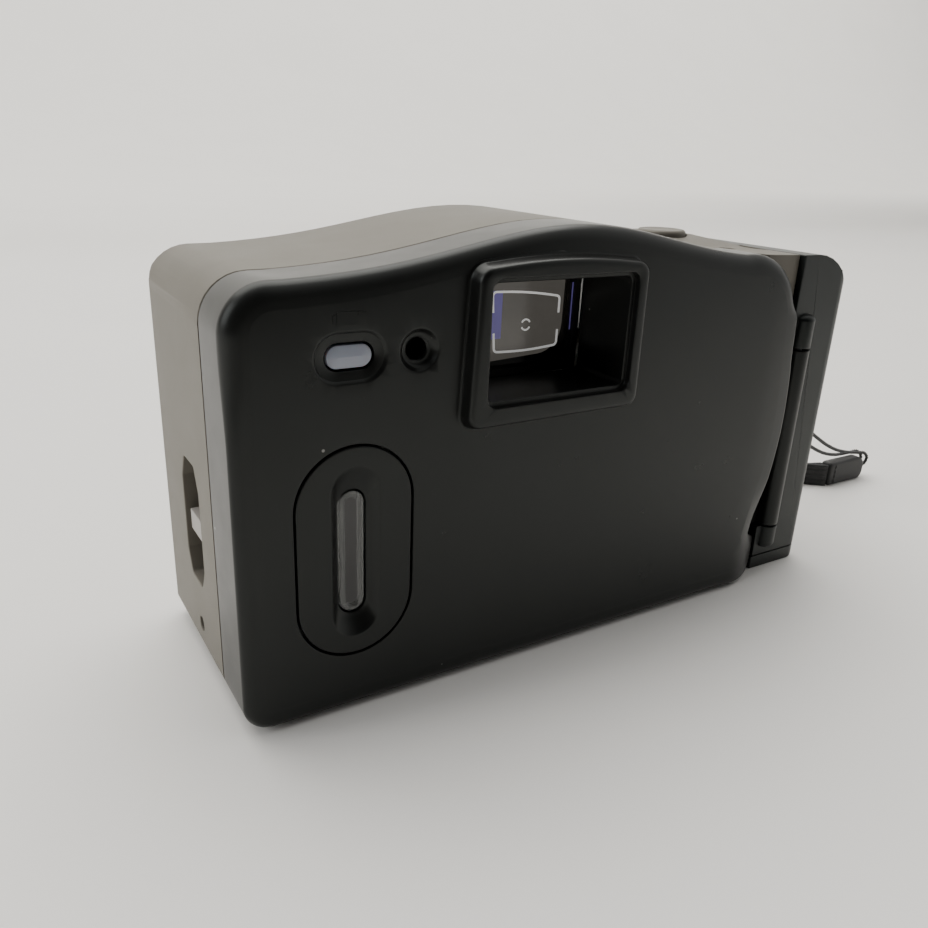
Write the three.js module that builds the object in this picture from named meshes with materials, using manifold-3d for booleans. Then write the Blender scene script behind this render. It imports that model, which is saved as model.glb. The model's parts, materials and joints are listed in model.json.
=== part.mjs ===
// A 35 mm compact autofocus camera with a hinged film door, a black hand grip and a wrist strap.
// Millimetres, +Z up. The lens looks along -Y and the film door faces +Y. The hand grip is at -X.
// The origin is the centre of the foot print: the middle of the body's box, on the ground.

import * as THREE from 'three';
import { mergeVertices } from 'three/addons/utils/BufferGeometryUtils.js';
import Module from 'manifold-3d';

const wasm = await Module();
wasm.setup();

// ---- driving dimensions ----
const WIDTH = 129;
const HALF_WIDTH = WIDTH / 2;
const BODY_DEPTH = 44;          // flat back of the film door to the front panel
const EYE_PROUD = 2.5;          // how far the eyepiece frame stands out of the door
const RING_PROUD = 4;           // how far the lens ring stands out of the front
const BACK_Y = (BODY_DEPTH + RING_PROUD - EYE_PROUD) / 2;
const BASE_TOP = 67.4;          // height of the flat parts of the top
const HUMP = { u: 57, spread: 28, rise: 6.7 };
const WALL = 2;
const GAP = 0.3;                // gap kept between touching pieces
const DOOR_DEPTH = 11;
const FLOOR = 0.8;              // the casings end this far above the ground
const FILM_W = -12;             // depth of the film plane
const GATE = { u: 54.5, z: 30, width: 36, height: 24 };
const CARTRIDGE = { u: 21, w: -25, r: 13.4, z0: 5.6, z1: 54.6 };
const SPOOL = { u: 93, w: -24.5 };
const MOTOR = { u: 119, w: -16.5 };
const BATTERY = { u: 117, w: -31.5, r: 8.5, height: 34.5 };
const HINGE = { u: 117, w: -4.5, r: 2.3, z0: 6, z1: 55 };
const SPLIT_U = 113.4;          // where the silver shell meets the grip
const EYE = { u0: 39, u1: 65.2, z0: 48.6, z1: 66.4 };
const FILM_WINDOW = { u: 17.9, z: 27.4, width: 18.9, height: 34.4 };
const LAMP = { u: 17.4, z: 57.2 };
const REWIND = { u: 27.9, z: 57.3, r: 1.65 };
const LATCH = { z: 26, w: -23.5 };
const LUG_Z = [18, 38];         // feet of the two lugs that the latch holds
const GRIP_BACK = -4;
const PIN_R = 0.8;
const CORNER_STEPS = 8;         // straight pieces in each rounded corner
const GEAR_MODULE = 0.8;
const GEAR_Z = 46.2;
const GEAR_WIDTH = 2.2;

// u is measured from the latch-side flank, w from the flat back of the door (negative to the front)
const X = (u) => HALF_WIDTH - u;
const Y = (w) => BACK_Y + w;

const SILVER = finish(0x94908a, 0.42, 0.35);
const BLACK = finish(0x1b1d1e, 0.38, 0);
const DARK = finish(0x101112, 0.6, 0);
const CLEAR = finish(0xc8d4dc, 0.08, 0);
const STEEL = finish(0xb4b6b8, 0.3, 1);
const BRASS = finish(0xb08d4a, 0.35, 1);
const WHITE = finish(0xd8d6cf, 0.5, 0);
const GREEN = finish(0x1f5a3a, 0.55, 0);
const WEAVE = finish(0x151516, 0.85, 0);

function finish(color, roughness, metalness) {
  return new THREE.MeshStandardMaterial({ color, roughness, metalness });
}

// ---- solids ----
function solid(geometry) {
  geometry.deleteAttribute('normal');
  geometry.deleteAttribute('uv');
  const merged = mergeVertices(geometry, 1e-5);
  return new wasm.Manifold(new wasm.Mesh({
    numProp: 3,
    vertProperties: new Float32Array(merged.attributes.position.array),
    triVerts: new Uint32Array(merged.index.array),
  }));
}

function block(u0, u1, w0, w1, z0, z1) {
  const box = new THREE.BoxGeometry(u1 - u0, w1 - w0, z1 - z0);
  box.translate(X((u0 + u1) / 2), Y((w0 + w1) / 2), (z0 + z1) / 2);
  return solid(box);
}

// an outline in the plane of the back, points [u, z], between two depths
function plateAlongY(points, w0, w1) {
  const shape = new THREE.Shape(points.map(([u, z]) => new THREE.Vector2(X(u), z)));
  const geometry = new THREE.ExtrudeGeometry(shape, { depth: w1 - w0, bevelEnabled: false });
  geometry.rotateX(Math.PI / 2);
  geometry.translate(0, Y(w1), 0);
  return solid(geometry);
}

// an outline seen from above, points [u, w], between two heights
function plateAlongZ(points, z0, z1) {
  const shape = new THREE.Shape(points.map(([u, w]) => new THREE.Vector2(X(u), Y(w))));
  const geometry = new THREE.ExtrudeGeometry(shape, { depth: z1 - z0, bevelEnabled: false });
  geometry.translate(0, 0, z0);
  return solid(geometry);
}

// an outline seen from the flank, points [w, z], between two places across the body
function plateAlongX(points, u0, u1) {
  const shape = new THREE.Shape(points.map(([w, z]) => new THREE.Vector2(Y(w), z)));
  const geometry = new THREE.ExtrudeGeometry(shape, { depth: u1 - u0, bevelEnabled: false });
  geometry.rotateZ(Math.PI / 2);
  geometry.rotateY(Math.PI / 2);
  geometry.translate(X(u1), 0, 0);
  return solid(geometry);
}

function upright(u, w, r, z0, z1, sides = 24, rTop = r) {
  const geometry = new THREE.CylinderGeometry(rTop, r, z1 - z0, sides);
  geometry.rotateX(Math.PI / 2);
  geometry.translate(X(u), Y(w), (z0 + z1) / 2);
  return solid(geometry);
}

function towardsBack(u, z, r, w0, w1, sides = 24, rBack = r) {
  const geometry = new THREE.CylinderGeometry(rBack, r, w1 - w0, sides);
  geometry.translate(X(u), Y((w0 + w1) / 2), z);
  return solid(geometry);
}

function acrossBody(w, z, r, u0, u1, sides = 16) {
  const geometry = new THREE.CylinderGeometry(r, r, u1 - u0, sides);
  geometry.rotateZ(Math.PI / 2);
  geometry.translate(X((u0 + u1) / 2), Y(w), z);
  return solid(geometry);
}

const join = (first, ...rest) => rest.reduce((sum, piece) => sum.add(piece), first);
const cut = (first, ...rest) => rest.reduce((left, piece) => left.subtract(piece), first);

// ---- outlines ----
// corners [a, b, radius] in order, each turned into an arc
function rounded(corners, steps = CORNER_STEPS) {
  const points = [];
  corners.forEach(([a, b, radius], i) => {
    const before = corners[(i + corners.length - 1) % corners.length];
    const after = corners[(i + 1) % corners.length];
    if (!radius) { points.push([a, b]); return; }
    const corner = new THREE.Vector2(a, b);
    const inward = new THREE.Vector2(before[0] - a, before[1] - b).normalize();
    const outward = new THREE.Vector2(after[0] - a, after[1] - b).normalize();
    const half = Math.acos(THREE.MathUtils.clamp(inward.dot(outward), -1, 1)) / 2;
    const reach = radius / Math.tan(half);
    const start = corner.clone().addScaledVector(inward, reach);
    const end = corner.clone().addScaledVector(outward, reach);
    const middle = inward.clone().add(outward).normalize();
    const centre = corner.clone().addScaledVector(middle, radius / Math.sin(half));
    const from = start.clone().sub(centre).angle();
    let turn = end.clone().sub(centre).angle() - from;
    if (turn > Math.PI) turn -= 2 * Math.PI;
    if (turn < -Math.PI) turn += 2 * Math.PI;
    for (let k = 0; k <= steps; k += 1) {
      const angle = from + (turn * k) / steps;
      points.push([centre.x + radius * Math.cos(angle), centre.y + radius * Math.sin(angle)]);
    }
  });
  return points;
}

function roundedRect(a0, a1, b0, b1, radius, steps = CORNER_STEPS) {
  return rounded([[a0, b0, radius], [a1, b0, radius], [a1, b1, radius], [a0, b1, radius]], steps);
}

function crownZ(u) {
  return BASE_TOP + HUMP.rise * Math.exp(-(((u - HUMP.u) / HUMP.spread) ** 2));
}

// the body seen from behind: rounded lower corners, a humped top between rounded upper corners
function bodyOutline(inset, u0 = 0, u1 = WIDTH, radii = { low: 4.5, left: 7, right: 11, lowRight: 3.5 }) {
  const left = u0 + inset;
  const right = u1 - inset;
  const leftR = radii.left - inset;
  const rightR = radii.right - inset;
  const top = [];
  const steps = 30;
  for (let k = 1; k < steps; k += 1) {
    const u = left + leftR + ((right - rightR - left - leftR) * k) / steps;
    top.push([u, crownZ(u) - inset, 0]);
  }
  return rounded([
    [right, FLOOR + inset, Math.max(radii.lowRight - inset, 0.5)],
    [left, FLOOR + inset, Math.max(radii.low - inset, 0.5)],
    [left, crownZ(left + leftR) - inset, leftR],
    ...top,
    [right, crownZ(right - rightR) - inset, rightR],
  ]);
}

// the body seen from the flank: the front is upright below and rounds back a little above
function flankOutline(inset, backW) {
  const front = -BODY_DEPTH + inset;
  const leanStart = 48;
  const lean = { depth: 5.5, height: 27 };
  const foot = rounded([[backW, 0], [front, FLOOR + inset, 5], [front, leanStart]]).slice(1, -1);
  const points = [[backW, 0], ...foot];
  const steps = 16;
  for (let k = 0; k <= steps; k += 1) {
    const angle = (Math.PI / 2) * (k / steps) * 0.98;
    points.push([
      front + lean.depth * (1 - Math.cos(angle)),
      leanStart + lean.height * Math.sin(angle),
    ]);
  }
  points.push([front + lean.depth, 90], [backW, 90]);
  return points;
}

function envelope(inset, plan, backW) {
  return plateAlongY(bodyOutline(inset), -60, 6)
    .intersect(plateAlongX(flankOutline(inset, backW), -5, WIDTH + 5))
    .intersect(plateAlongZ(plan, -5, 95));
}

// a toothed wheel: straight-sided teeth with running clearance
function gear(u, w, teeth, z0, z1, phase) {
  const pitch = (GEAR_MODULE * teeth) / 2;
  const tip = pitch + GEAR_MODULE * 0.72;
  const root = pitch - GEAR_MODULE * 0.98;
  const points = [];
  for (let k = 0; k < teeth; k += 1) {
    const angle = phase + (2 * Math.PI * k) / teeth;
    const step = Math.PI / teeth;
    [[root, -0.62], [tip, -0.2], [tip, 0.2], [root, 0.62]].forEach(([r, share]) => {
      points.push([u + r * Math.cos(angle + share * step), w + r * Math.sin(angle + share * step)]);
    });
  }
  return plateAlongZ(points, z0, z1);
}

const pitchRadius = (teeth) => (GEAR_MODULE * teeth) / 2;

// ---- the tree of named pieces ----
const camera = new THREE.Group();

function add(name, shape, material) {
  const { numProp, vertProperties, triVerts } = shape.getMesh();
  const geometry = new THREE.BufferGeometry();
  const positions = new Float32Array((vertProperties.length / numProp) * 3);
  for (let i = 0; i < positions.length / 3; i += 1) {
    for (let axis = 0; axis < 3; axis += 1) positions[3 * i + axis] = vertProperties[numProp * i + axis];
  }
  geometry.setAttribute('position', new THREE.BufferAttribute(positions, 3));
  geometry.setIndex(new THREE.BufferAttribute(new Uint32Array(triVerts), 1));
  geometry.computeVertexNormals();
  const mesh = new THREE.Mesh(geometry, material);
  mesh.name = name;
  camera.add(mesh);
}

// ---- casing ----
const LENS = { u: GATE.u, z: GATE.z + 1, r: 17 };
const FINDER = { u0: EYE.u0 - 0.8, u1: EYE.u1 + 0.8, z0: EYE.z0 - 0.4, z1: EYE.z1 + 0.6 };
const FLASH = { u0: 78, u1: 104, z0: 51, z1: 62.5 };
const SPOTS = {
  emitter: { u: 30, z: 55, r: 4 },
  receiver: { u: 72, z: 56, r: 3 },
  timer: { u: 20, z: 54, r: 1.8 },
};
const SHUTTER = { u: 99.5, w: -29, r: 5 };
const SMALL_BUTTONS = { flash_button: { u: 94, w: -15 }, self_timer_button: { u: 104, w: -15 } };
const SMALL_R = 1.3;
const COUNTER = { u0: 86.4, u1: 92.4, w0: -33, w1: -26 };
const CONTROL_TOP = 69.4;

const silverPlan = (inset) => [
  ...rounded([
    [inset, -11.3], [inset, -BODY_DEPTH + inset, 3.5 - inset], [SPLIT_U, -BODY_DEPTH + inset],
  ]).slice(0, -1),
  [SPLIT_U + (inset ? 5 : 0), -BODY_DEPTH + inset],
  [SPLIT_U + (inset ? 5 : 0), -5 - inset * 1.5],
  [104.6, -5 - inset * 1.5],
  [98, -11.3 - inset * 0.5],
  ...(inset ? [[97, -10], [inset, -10]] : []),
];

// the raised place for the shutter button, with a ramp down to the grip
function controlIsland(inset, bottom) {
  const outline = roundedRect(84 + inset, 112.8 - inset, -37.5 + inset, -17 - inset, 4 - inset, 4);
  const toGrip = [[80, bottom], [80, CONTROL_TOP - inset], [104.5, CONTROL_TOP - inset], [114, 67.2 - inset],
    [115, bottom]];
  const toBack = [[-50, bottom], [-50, CONTROL_TOP - inset], [-25.5, CONTROL_TOP - inset], [-17, 67.2 - inset],
    [-16, bottom]];
  return plateAlongZ(outline, bottom - 1, 80)
    .intersect(plateAlongY(toGrip, -50, 0))
    .intersect(plateAlongX(toBack, 80, 115));
}

function topFrontShell() {
  const outer = join(envelope(0, silverPlan(0), 0), controlIsland(0, 62));
  const inner = join(envelope(WALL, silverPlan(WALL), 0), controlIsland(1.4, 60));
  const pocketBoss = block(1, 4.6, -31, -16, 13.5, 39.5);
  const pocket = plateAlongX(rounded([
    [-18.6, 33, 1], [-20.6, 37, 1], [-26.5, 37, 1], [-28.4, 33, 1],
    [-28.4, 20, 1], [-26.5, 16, 1], [-20.6, 16, 1], [-18.6, 20, 1],
  ], 2), -1, 3.3);
  const stemSlot = block(3, 5, LATCH.w - 1.6, LATCH.w + 1.6, LATCH.z - 6.4, LATCH.z + 1.9);
  const strip = block(97, SPLIT_U + 1, -14, 0, -2, 55.2);
  return cut(
    join(cut(outer, inner), pocketBoss),
    pocket, stemSlot, strip,
    block(WALL, SPLIT_U + 1, -BODY_DEPTH + WALL, 0, -1, 6),
    block(101.2, SPLIT_U + 1, -60, -30, -1, 3.2),
    towardsBack(LENS.u, LENS.z, LENS.r + GAP, -60, -30, 40),
    block(FINDER.u0 - GAP, FINDER.u1 + GAP, -60, -30, FINDER.z0 - GAP, FINDER.z1 + GAP),
    block(FLASH.u0 - GAP, FLASH.u1 + GAP, -60, -30, FLASH.z0 - GAP, FLASH.z1 + GAP),
    ...Object.values(SPOTS).map((spot) => towardsBack(spot.u, spot.z, spot.r + GAP, -60, -30, 20)),
    acrossBody(-23, 8, 1.3, -2, 4, 14),
    ...Object.values(SMALL_BUTTONS).map(({ u, w }) => upright(u, w, SMALL_R + GAP, 60, 80, 16)),
    upright(SHUTTER.u, SHUTTER.w, SHUTTER.r + GAP, 60, 80, 28),
    block(COUNTER.u0 - GAP, COUNTER.u1 + GAP, COUNTER.w0 - GAP, COUNTER.w1 + GAP, 60, 80),
  );
}
add('top_front_shell', topFrontShell(), SILVER);

const gripPlan = (inset) => rounded([
  [SPLIT_U + GAP - (inset ? 5 : 0), GRIP_BACK - inset], [WIDTH - inset, GRIP_BACK - inset, 3.2 - inset],
  [WIDTH - inset, -BODY_DEPTH + inset, 10 - inset], [SPLIT_U + GAP - (inset ? 5 : 0), -BODY_DEPTH + inset],
]);
const LUG = { u: 127.1, w: -18, r: 0.9 };

function gripShell() {
  const hollow = cut(envelope(0, gripPlan(0), 0), envelope(WALL, gripPlan(WALL), 0));
  const channel = join(
    block(105, 121, -10, -8, 3.4, 54.6),
    block(SPLIT_U + GAP, 121, -10, GRIP_BACK, 3.4, 54.6),
  );
  const knuckles = [[HINGE.z0, 10.2], [49.3, HINGE.z1]].map(([z0, z1]) =>
    join(upright(HINGE.u, HINGE.w, HINGE.r, z0, z1, 24), block(HINGE.u - 1.4, HINGE.u + 1.4, -7, HINGE.w, z0, z1)));
  const lugPocket = block(124.6, 130, -22.5, -13.5, 26.5, 37.5);
  const lugBoss = block(123.8, 128, -24, -12, 25, 39);
  const shell = cut(
    join(hollow, channel, lugBoss),
    block(-1, 130, -60, 2, -1, 3.2),
    upright(HINGE.u, HINGE.w, HINGE.r + 0.5, 10.2, 49.3, 24),
    block(100, HINGE.u, -7.7, 2, 10.2, 49.3),
    lugPocket,
  );
  return cut(
    join(shell, ...knuckles),
    upright(HINGE.u, HINGE.w, PIN_R + GAP, HINGE.z0 + 0.7, HINGE.z1 - 0.7, 16),
    upright(LUG.u, LUG.w, LUG.r + GAP, 24, 40.5, 16),
  );
}
add('grip_shell', gripShell(), BLACK);
add('strap_lug', upright(LUG.u, LUG.w, LUG.r, 25.2, 38.8, 14), STEEL);
add('hinge_pin', upright(HINGE.u, HINGE.w, PIN_R, HINGE.z0 + 1, HINGE.z1 - 1, 14), STEEL);

const BATTERY_DOOR = { u0: 107.5, w1: -21.5, axisU: 108.6, axisZ: 1.4, r: 1.1 };
const TRIPOD = { u: 64, w: -24, r: 5 };
const SCREWS = [[12, -35], [97, -37]];

function bottomPlate() {
  const slab = plateAlongZ(rounded([
    [WALL + GAP, -11.5], [WALL + GAP, -BODY_DEPTH + WALL + GAP, 5], [115, -BODY_DEPTH + WALL + GAP], [115, -11.5],
  ]), 0, 2.9);
  const lip = plateAlongZ(roundedRect(5, 108.5, -14, -2.6, 1, 2), 0, 0.55);
  return cut(
    join(slab, lip, gripFoot(0)),
    block(BATTERY_DOOR.u0 - GAP, 140, -60, BATTERY_DOOR.w1 + GAP, -1, 4),
    upright(TRIPOD.u, TRIPOD.w, TRIPOD.r + GAP, -1, 4, 24),
    ...SCREWS.flatMap(([u, w]) => [upright(u, w, 1.9, -1, 1.8, 16), upright(u, w, 1, -1, 4, 12)]),
  );
}

// the foot of the grip, which the battery door completes at the front
function gripFoot(bottom) {
  return plateAlongZ(rounded([
    [BATTERY_DOOR.u0 - 6, -9], [SPLIT_U, -9], [SPLIT_U, GRIP_BACK], [WIDTH, GRIP_BACK, 3.2],
    [WIDTH, -BODY_DEPTH, 10], [BATTERY_DOOR.u0 - 6, -BODY_DEPTH],
  ]), bottom, 2.9).intersect(plateAlongY(rounded([[90, 0], [WIDTH, 0, 3.2], [WIDTH, 5], [90, 5]]), -60, 5));
}
add('bottom_plate', bottomPlate(), BLACK);

function batteryDoor() {
  const leaf = block(BATTERY_DOOR.axisU, 140, -60, BATTERY_DOOR.w1, 0.2, 2.5);
  const outline = plateAlongZ(rounded([
    [BATTERY_DOOR.u0 - 4, BATTERY_DOOR.w1], [WIDTH, BATTERY_DOOR.w1], [WIDTH, -BODY_DEPTH, 10],
    [BATTERY_DOOR.u0 - 4, -BODY_DEPTH],
  ]), -1, 4);
  const barrel = new THREE.CylinderGeometry(BATTERY_DOOR.r, BATTERY_DOOR.r, 18, 16);
  barrel.translate(X(BATTERY_DOOR.axisU), Y(BATTERY_DOOR.w1 - 12), BATTERY_DOOR.axisZ);
  return join(leaf.intersect(outline), solid(barrel));
}
add('battery_door', batteryDoor(), BLACK);
add('tripod_bush', cut(
  join(upright(TRIPOD.u, TRIPOD.w, TRIPOD.r, 0.1, 3.4), upright(TRIPOD.u, TRIPOD.w, 6.5, 3.2, 4.6)),
  upright(TRIPOD.u, TRIPOD.w, 3, -1, 4, 24),
), STEEL);
add('side_screw', join(acrossBody(-23, 8, 1, 0.7, 1.8, 12), acrossBody(-23, 8, 0.6, 1.8, 6.1, 10)), STEEL);

// ---- film door ----
// its edge beside the hinge bows outwards, draws in near the foot and ends in a rounded heel
const DOOR_EDGE = [[110.6, 48], [111.3, 43], [111.6, 38], [111.5, 33], [110.9, 28], [109.9, 23], [108.8, 18],
  [107.8, 14], [107.2, 11.2], [109.4, 9.9], [111.6, 8.7], [112.5, 7.6], [112.8, 6.4], [112.8, 3.6], [112.5, 2.4],
  [111.7, 1.45], [110.6, 0.95], [109.2, FLOOR]];

function doorOutline(inset) {
  const outline = bodyOutline(inset, 0, 110, { low: 4.5, left: 7, right: 13, lowRight: 3 });
  const edge = DOOR_EDGE.map(([u, z]) => [u - inset, z + inset * Math.max(0, 1 - (z - FLOOR) / 10.4)]);
  return [...outline.slice(CORNER_STEPS + 1), ...edge];
}

// the heel falls away towards the grip
function heelWedge() {
  return plateAlongZ([[103.5, 1], [103.5, 0.01], [105.5, -0.4], [107.2, -1.1], [109.7, -2.2], [113.4, -4.1],
    [113.4, 1]], -1, 11.6);
}

const obround = (u, z, width, height, steps = 8) =>
  roundedRect(u - width / 2, u + width / 2, z - height / 2, z + height / 2, Math.min(width, height) / 2 - 0.01, steps);

function backCover() {
  const plan = plateAlongZ([
    [-1, -DOOR_DEPTH], [98, -DOOR_DEPTH], [104, -4.6], [113, -4.6], [113, 1], [-1, 1],
  ], -1, 95);
  const plate = cut(plateAlongY(doorOutline(0), -DOOR_DEPTH, 0), plateAlongY(doorOutline(WALL), -20, -2.2));
  const heel = plateAlongY(doorOutline(0), -4.6, 0).intersect(block(103.5, 114, -4.6, 0, 0, 13.2));
  const frame = plateAlongY(rounded([
    [35.2, 44.8, 2], [68.1, 45, 2], [68, 68.7, 2.5], [52, 69.6], [36.3, 68.7, 2.5],
  ], 4), -1, EYE_PROUD);
  const tunnel = block(EYE.u0 - 1.5, EYE.u1 + 1.5, -10.8, 0, EYE.z0 - 1.5, EYE.z1 + 1.5);
  const web = block(104, 109, -7.2, -1, 10.6, 48.9);
  const leaf = block(108, HINGE.u, -7.1, -5.4, 10.6, 48.9);
  const barrel = upright(HINGE.u, HINGE.w, HINGE.r, 10.6, 48.9);
  const lugs = LUG_Z.map((z) => join(block(1.5, 4.4, -10.9, -8, z, z + 4), block(2.5, 4.4, -15.4, -8, z, z + 4)));
  return cut(
    join(cut(join(plate.intersect(plan), heel), heelWedge()), frame, tunnel, web, leaf, barrel, ...lugs),
    block(EYE.u0, EYE.u1, -20, 5, EYE.z0, EYE.z1),
    plateAlongY(obround(FILM_WINDOW.u, FILM_WINDOW.z, FILM_WINDOW.width, FILM_WINDOW.height), -5, 1),
    plateAlongY(obround(LAMP.u, LAMP.z, 10.6, 6.9, 6), -1, 1),
    plateAlongY(obround(LAMP.u, LAMP.z, 7.4, 3.9, 6), -5, 1),
    towardsBack(REWIND.u, REWIND.z, 2.4, -1, 0.01, 24, 3.1),
    towardsBack(REWIND.u, REWIND.z, REWIND.r, -5, 1, 20),
    upright(HINGE.u, HINGE.w, PIN_R + GAP, 5, 60, 16),
  );
}
add('back_cover', backCover(), BLACK);

function filmWindowBezel() {
  const { u, z, width, height } = FILM_WINDOW;
  return cut(
    join(
      plateAlongY(obround(u, z, width - 2 * GAP, height - 2 * GAP), -2.6, -0.05),
      plateAlongY(obround(u, z, width + 2, height + 2), -4, -2.5),
    ),
    plateAlongY(obround(u, z, 7, 27.4), -1.2, 1),
    plateAlongY(obround(u, z - 0.4, 4.6, 20.6, 6), -6, 1),
  );
}
add('film_window_bezel', filmWindowBezel(), BLACK);
add('film_window', plateAlongY(obround(FILM_WINDOW.u, FILM_WINDOW.z - 0.4, 4, 20, 6), -3.8, -1.6), CLEAR);
add('transport_lamp_window', plateAlongY(obround(LAMP.u, LAMP.z, 6.8, 3.3, 6), -3, -0.6), WHITE);
add('cartridge_seal', cut(
  plateAlongY(obround(FILM_WINDOW.u, FILM_WINDOW.z, 17, 32, 5), -8.5, -4.3),
  plateAlongY(obround(FILM_WINDOW.u, FILM_WINDOW.z, 10, 25, 5), -9, -4),
), WEAVE);

const PRESSURE = { w0: -11.5, w1: -10.5 };
add('pressure_plate', plateAlongY(roundedRect(33.5, 72.4, 14, 46, 2, 3), PRESSURE.w0, PRESSURE.w1), DARK);

function leafSpring() {
  const outer = [];
  const inner = [];
  const steps = 10;
  for (let k = 0; k <= steps; k += 1) {
    const u = 39 + (30 * k) / steps;
    const arch = Math.sin((Math.PI * k) / steps);
    outer.push([u, -9.3 + 6.6 * arch]);
    inner.push([u, -9.6 + 6.5 * arch]);
  }
  return plateAlongZ([...outer, ...inner.reverse()], 26, 33);
}
add('pressure_plate_spring', leafSpring(), STEEL);

// ---- door latch in the flank ----
function latchSlider() {
  const knob = plateAlongX([
    [LATCH.w - 3.4, LATCH.z - 1.9], [LATCH.w + 3.4, LATCH.z - 1.9], [LATCH.w + 3.4, LATCH.z + 1.6],
    [LATCH.w - 3.4, LATCH.z + 1.6],
  ], 0.5, 3);
  const stem = block(2.9, 5.1, LATCH.w - 1.2, LATCH.w + 1.2, LATCH.z - 1.6, LATCH.z + 1.6);
  const plate = block(4.9, 6.1, -29, -12.6, 15, 43);
  const noses = LUG_Z.map((z) => block(2.6, 5, -15.4, -12.9, z - 1.2, z - 0.4));
  return join(knob, stem, plate, ...noses);
}
add('latch_slider', latchSlider(), WHITE);
add('latch_spring', helix(5.3, -20, 0.8, 43.4, 51, 5, 0.2), STEEL);

// a compression spring: a round wire along a helix
function helix(u, w, radius, z0, z1, turns, wire) {
  class Winding extends THREE.Curve {
    getPoint(t, target = new THREE.Vector3()) {
      const angle = 2 * Math.PI * turns * t;
      return target.set(X(u) + radius * Math.cos(angle), Y(w) + radius * Math.sin(angle), z0 + (z1 - z0) * t);
    }
  }
  const section = new THREE.Shape();
  section.absarc(0, 0, wire, 0, 2 * Math.PI, false);
  return solid(new THREE.ExtrudeGeometry(section, {
    extrudePath: new Winding(), steps: turns * 8, curveSegments: 3, bevelEnabled: false,
  }));
}

// ---- film chamber and transport ----
const PINION_TEETH = 8;
const IDLER_TEETH = 16;
const SPOOL_TEETH = 28;
const trainAngle = Math.atan2(MOTOR.w - SPOOL.w, MOTOR.u - SPOOL.u);
const idlerReach = pitchRadius(SPOOL_TEETH) + pitchRadius(IDLER_TEETH);
const IDLER = {
  u: SPOOL.u + idlerReach * Math.cos(trainAngle),
  w: SPOOL.w + idlerReach * Math.sin(trainAngle),
};
const SPROCKET = { u: 77.6, w: -15.5 };

function chassis() {
  const towers = [block(6.5, 35.6, -39, FILM_W, 5, 57), block(35, 80, -27, FILM_W, 5, 46.5),
    block(79, 106.5, -37.5, FILM_W, 5, 45.5), block(24, 32, -17, FILM_W, 54, 61)];
  const { u, w, r, z0, z1 } = CARTRIDGE;
  const body = cut(
    join(...towers),
    upright(u, w, r, z0 + 1, z1, 28),
    block(u - r, u + r, w, 0, z0 + 1, z1),
    upright(u, w, 2.4, 50, 60, 16),
    upright(SPOOL.u, SPOOL.w, 12.4, 6, 60, 28),
    block(SPOOL.u - 12.4, SPOOL.u + 12.4, SPOOL.w, 0, 6, 60),
    block(GATE.u - GATE.width / 2, GATE.u + GATE.width / 2, -14, 0, GATE.z - 12, GATE.z + 12),
    block(GATE.u - 14.5, GATE.u + 14.5, -40, 0, GATE.z - 9, GATE.z + 10),
    upright(SPROCKET.u, SPROCKET.w, 4.7, 7, 44, 20),
    towardsBack(REWIND.u, REWIND.z, REWIND.r + 0.2, -20, 0, 16),
    block(REWIND.u - 3.4, REWIND.u + 3.4, -22, -17, 54.9, 70),
    acrossBody(-23, 8, 1, 6, 9, 12),
  );
  return join(body, upright(SPOOL.u, SPOOL.w, 1.5, 5.5, 11.5, 14), upright(SPROCKET.u, SPROCKET.w, 0.9, 6.5, 10, 10));
}
add('film_chamber', chassis(), DARK);

function takeUpSpool() {
  const drum = join(
    upright(SPOOL.u, SPOOL.w, 8.5, 6.4, GEAR_Z + 0.2, 28),
    upright(SPOOL.u, SPOOL.w, 11, 6.4, 7.6, 28),
    block(SPOOL.u - 1.5, SPOOL.u + 1.5, SPOOL.w, SPOOL.w + 9.4, 24, 27),
    gear(SPOOL.u, SPOOL.w, SPOOL_TEETH, GEAR_Z, GEAR_Z + GEAR_WIDTH, trainAngle),
  );
  return cut(drum, upright(SPOOL.u, SPOOL.w, 1.9, 5, 12, 16));
}
add('take_up_spool', takeUpSpool(), WHITE);

const meshPhase = (teeth) => trainAngle + Math.PI + Math.PI / teeth;
add('idler_gear', cut(
  gear(IDLER.u, IDLER.w, IDLER_TEETH, GEAR_Z, GEAR_Z + GEAR_WIDTH, meshPhase(IDLER_TEETH)),
  upright(IDLER.u, IDLER.w, 1.2, 40, 60, 14),
), WHITE);
add('idler_stud', upright(IDLER.u, IDLER.w, 0.9, 42, 49.4, 12), STEEL);

// the idler's tooth on the far side decides how the pinion's teeth stand
const idlerFar = meshPhase(IDLER_TEETH) + Math.PI;
const halfPitches = Math.round((trainAngle - idlerFar) / (Math.PI / IDLER_TEETH));
const pinionPhase = trainAngle + Math.PI + (halfPitches % 2 === 0 ? Math.PI / PINION_TEETH : 0);
add('motor_pinion', cut(
  gear(MOTOR.u, MOTOR.w, PINION_TEETH, GEAR_Z - 0.6, GEAR_Z + GEAR_WIDTH, pinionPhase),
  upright(MOTOR.u, MOTOR.w, 1.05, 40, 47.6, 12),
), BRASS);
add('drive_motor', join(
  upright(MOTOR.u, MOTOR.w, 4.4, 14, 42, 24),
  upright(MOTOR.u, MOTOR.w, 2, 42, 43.6, 16),
  upright(MOTOR.u, MOTOR.w, 0.75, 43, 47.2, 10),
), STEEL);

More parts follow.
